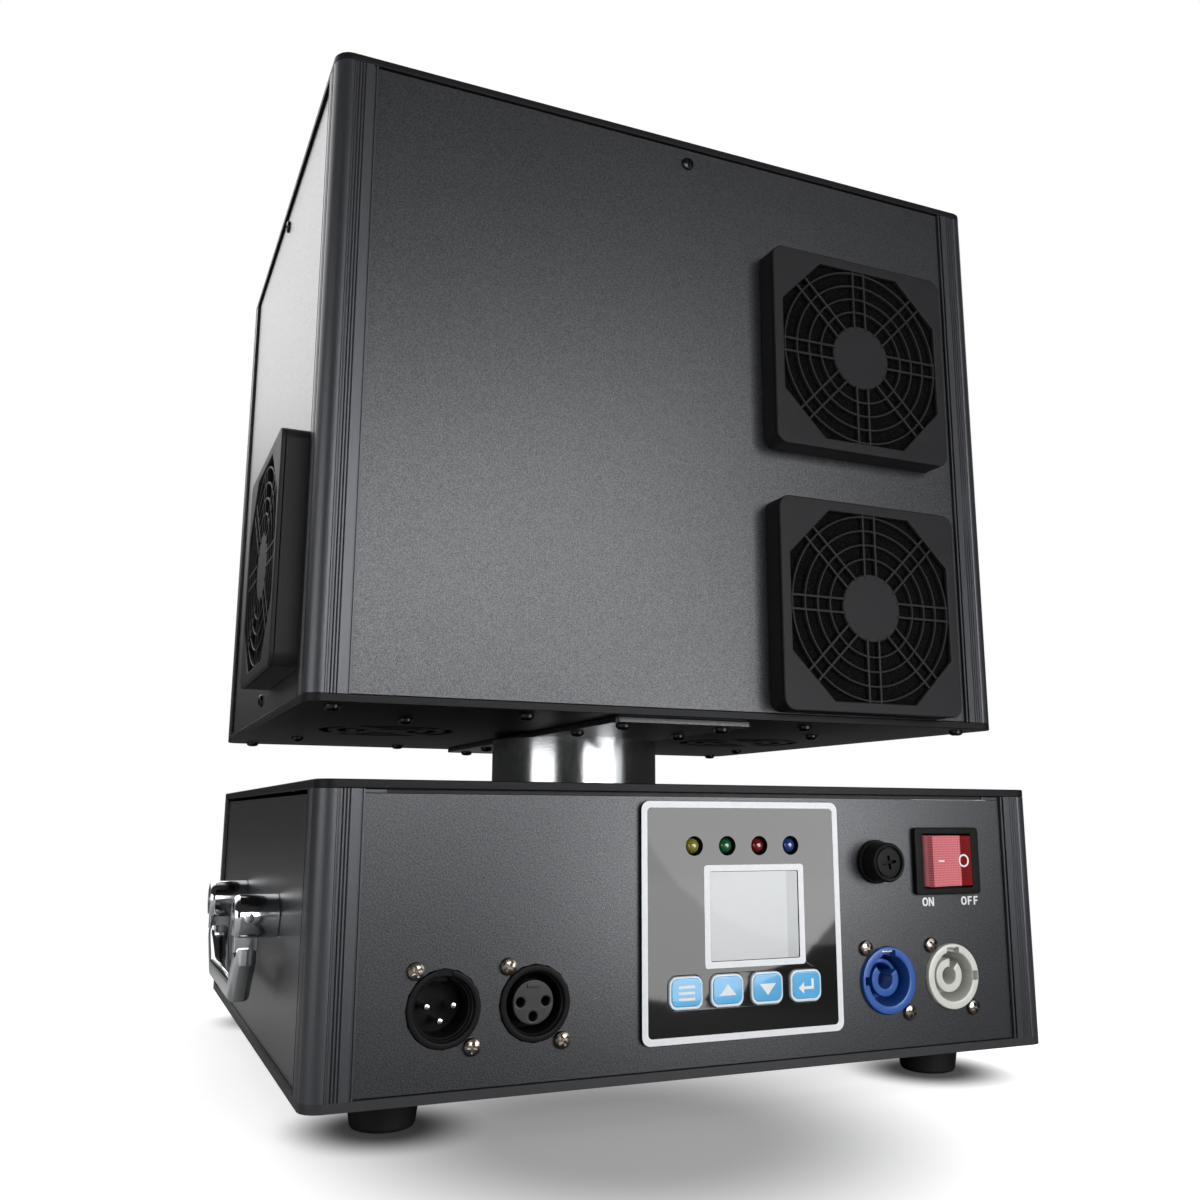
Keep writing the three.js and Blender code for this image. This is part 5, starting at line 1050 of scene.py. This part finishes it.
# Filter guards: clip-on black mouldings of a rounded frame with a cut-cornered opening, four rings and
# eight pairs of ribs round a plain hub, over a pad of black reticulated foam that keeps the dust out.
GUARD_SIZE = 87.2
GUARD_TOP = 11.1
GUARD_OPENING = 78.2
GUARD_CUT = 19.3
GUARD_RINGS = (20.5, 26.5, 32.5, 38.5)
RING_BAND = ((-0.5, -0.9), (0.5, -0.9), (0.42, 0.6), (0.2, 0.8), (-0.2, 0.8), (-0.42, 0.6))
RIB_WIDTH = 1.05
RIB_PAIR = 5.7
RIB_START = 12.5
RIB_ENDS = (39.6, 42.4)
HUB = [(0, -1), (14.1, -1), (14.2, 0.6), (13.8, 1.0), (0, 1.0)]
HUB_SINK = 0.85
FOAM_CELL = 1.1
GUARDS = {
    "front_upper": ("front", 77.9, -121.55, 295.0), "front_lower": ("front", 77.9, -121.55, 185.6),
    "left_side": ("left", -146.4, -62.5, 195.5),
}


def cut_corners(size, corner):
    """A square with slanted corners, as a flat outline."""
    half = size / 2
    low = half - corner
    left = [(-low, half), (-half, low), (-half, -low), (-low, -half)]
    return [(low, half), *left, (low, -half), (half, -low), (half, low)]


guard_black = dappled(
    "black_guard_moulding", ("222224", "1e1e20", "262628"), 0.46, 0.1, (12,), (0.01, 0.3), shine=0.1)
foam_black, shader, signal = finish("black_foam", "070707", 0.9, shine=0.08)
sockets = {"Vector": where(signal), "Scale": 1 / (FOAM_CELL * MM)}
cells = signal.node("ShaderNodeTexVoronoi", {"feature": "F1"}, sockets)
blended(cells.between(0.1, 0.6), paint("0e0e0e"), paint("020202")).into(shader, "Base Color")
bumped(shader, cells, 0.6)

guard_line = box_outline(GUARD_SIZE, GUARD_SIZE, 5)
face = outlined("face", [guard_line, cut_corners(GUARD_OPENING, GUARD_CUT)], 2.4, 0.6, 3)
wall = outlined("wall", [guard_line, box_outline(83, 83, 3)], 9.6, 0.2)
grille = [moved(lathed("hub", HUB, 56), z=GUARD_TOP - 1 - HUB_SINK)]
for radius in GUARD_RINGS:
    grille.append(moved(lathed("ring", [(radius + x, z) for x, z in RING_BAND], 80), z=GUARD_TOP - 1.35))
for index in range(8):
    end = RIB_ENDS[index % 2]
    for offset in (-RIB_PAIR / 2, RIB_PAIR / 2):
        centre = ((end + RIB_START) / 2, offset, GUARD_TOP - 1.4)
        grille.append(moved(block((end - RIB_START, RIB_WIDTH, 1.8), centre, 0.3), spin=45 * index))
guard = joined([moved(face, z=GUARD_TOP - 1.2), moved(wall, z=5.1), *grille])
pad = moved(outlined("pad", [box_outline(82.6, 82.6, 2.8)], 6, 0.8), z=5.6)
for name, spot in GUARDS.items():
    place = facing(*spot)
    node = "fan_guard_" + name
    fitted(copied(guard), "filter_guard_" + name, place, guard_black, "head", node)
    fitted(copied(pad), "filter_pad_" + name, place, foam_black, "head")
    dress("fan_rotor_" + name, moulded_black)
bpy.data.objects.remove(guard)
bpy.data.objects.remove(pad)


# Spark units: a heated steel barrel, a sheet hopper, a feed trough and its geared motor, on one stand.
# The granules fall from the hopper on to a steel screw, which feeds them to the barrel.
UNIT_SPOTS = {"left": -62, "right": 62}

barrel_steel = dappled(
    "heated_barrel_and_hopper", ("8d8f91", "7d7f81", "9ea0a2"), 0.4, 0.24, (9, 3), (0.02, 0.5), metallic=0.9)
screw_steel = dappled("feed_screw_steel", ("9fa1a3", "8f9193", "b1b3b5"), 0.28, 0.16, (2, 3), metallic=1.0)
for side in UNIT_SPOTS:
    dress("spark_unit_" + side, barrel_steel)
    dress("feed_screw_" + side, screw_steel)


# Head roof: coated sheet with two nozzle holes and two filler holes, held by four screws.
# A machined steel ring closes each nozzle, and its own screws go down into the barrel.
HEAD_ROOF = 379.3
ROOF_TOP = HEAD_ROOF + PLATE
UNIT_ROW = -14
FILLER_ROW = 48
NOZZLE_HOLE = 17.6
FILLER_HOLE = 15.6
NOZZLE_TRIM = [(11.2, 0.1), (22, 0.1), (22.3, 0.6), (22.3, 3.4), (21.6, 4.15), (12.4, 4.15), (11.2, 3.4)]
TRIM_TOP = 4.1
TRIM_SCREW_RADIUS = 17
ROOF_SCREWS = ((-137.5, -112.6), (137.5, -112.6), (-137.5, 112.6), (137.5, 112.6))

nozzle_steel = dappled(
    "nozzle_ring", ("8a8b8d", "7b7c7e", "9c9da0"), 0.3, 0.2, (2, 3, (4, 4, 1)), metallic=1.0)
holes = [ring(NOZZLE_HOLE, 64, x, UNIT_ROW) for x in UNIT_SPOTS.values()]
holes += [ring(FILLER_HOLE, 56, x, FILLER_ROW) for x in UNIT_SPOTS.values()]
roof = plate("roof", HEAD_SIZE, holes, 0.45)
place = facing("top", 0, 0, HEAD_ROOF)
fitted(roof, "head_roof", place, plate_coat, "head", "head_top_plate")
for side, x in UNIT_SPOTS.items():
    place = facing("top", x, UNIT_ROW, ROOF_TOP)
    fitted(lathed("trim", NOZZLE_TRIM, 72), "nozzle_ring_" + side, place, nozzle_steel, "head")
    for index in range(4):
        a = math.radians(45 + 90 * index)
        dx, dy = TRIM_SCREW_RADIUS * math.cos(a), TRIM_SCREW_RADIUS * math.sin(a)
        place = facing("top", x + dx, UNIT_ROW + dy, ROOF_TOP + TRIM_TOP, spin=50 * index)
        fitted(copied(small_screw), "nozzle_screw_%s_%d" % (side, index), place, screw_nickel, "head")
screwed("roof", "top", ROOF_SCREWS, ROOF_TOP, "head", step=40)


# Filler caps: black lobed plastic lids on the hopper necks.
# A plug under each lid sits in the neck, and a grip across its dish turns it.
CAP_LOBES = 10
CAP_RADIUS = 18
LOBE_HEIGHT = 0.75
LID_DISH = [(0, 14.0), (0, 13.4), (11.8, 13.4), (12.6, 14.0), (12.9, 15.5), (0, 15.5)]
LID_PLUG = [(0, -0.7), (11.0, -0.7), (11.4, 0), (11.4, 6), (0, 6)]

lobes = []
for step in range(120):
    a = 2 * math.pi * step / 120
    radius = CAP_RADIUS - LOBE_HEIGHT + LOBE_HEIGHT * math.cos(CAP_LOBES * a)
    lobes.append((radius * math.cos(a), radius * math.sin(a)))
for side, x in UNIT_SPOTS.items():
    name = "filler_cap_" + side
    lid = moved(outlined("lid", [lobes], 9, 1.3, 3), z=9.8)
    cut(lid, lathed("dish", LID_DISH, 48))
    grip = block((22, 5, 1.4), (0, 0, 13.55), 0.4)
    plug = lathed("plug", LID_PLUG)
    place = facing("top", x, FILLER_ROW, ROOF_TOP)
    fitted(joined([lid, grip, plug]), "filler_lid_" + side, place, moulded_black, name, name)
bpy.data.objects.remove(screw)
bpy.data.objects.remove(small_screw)
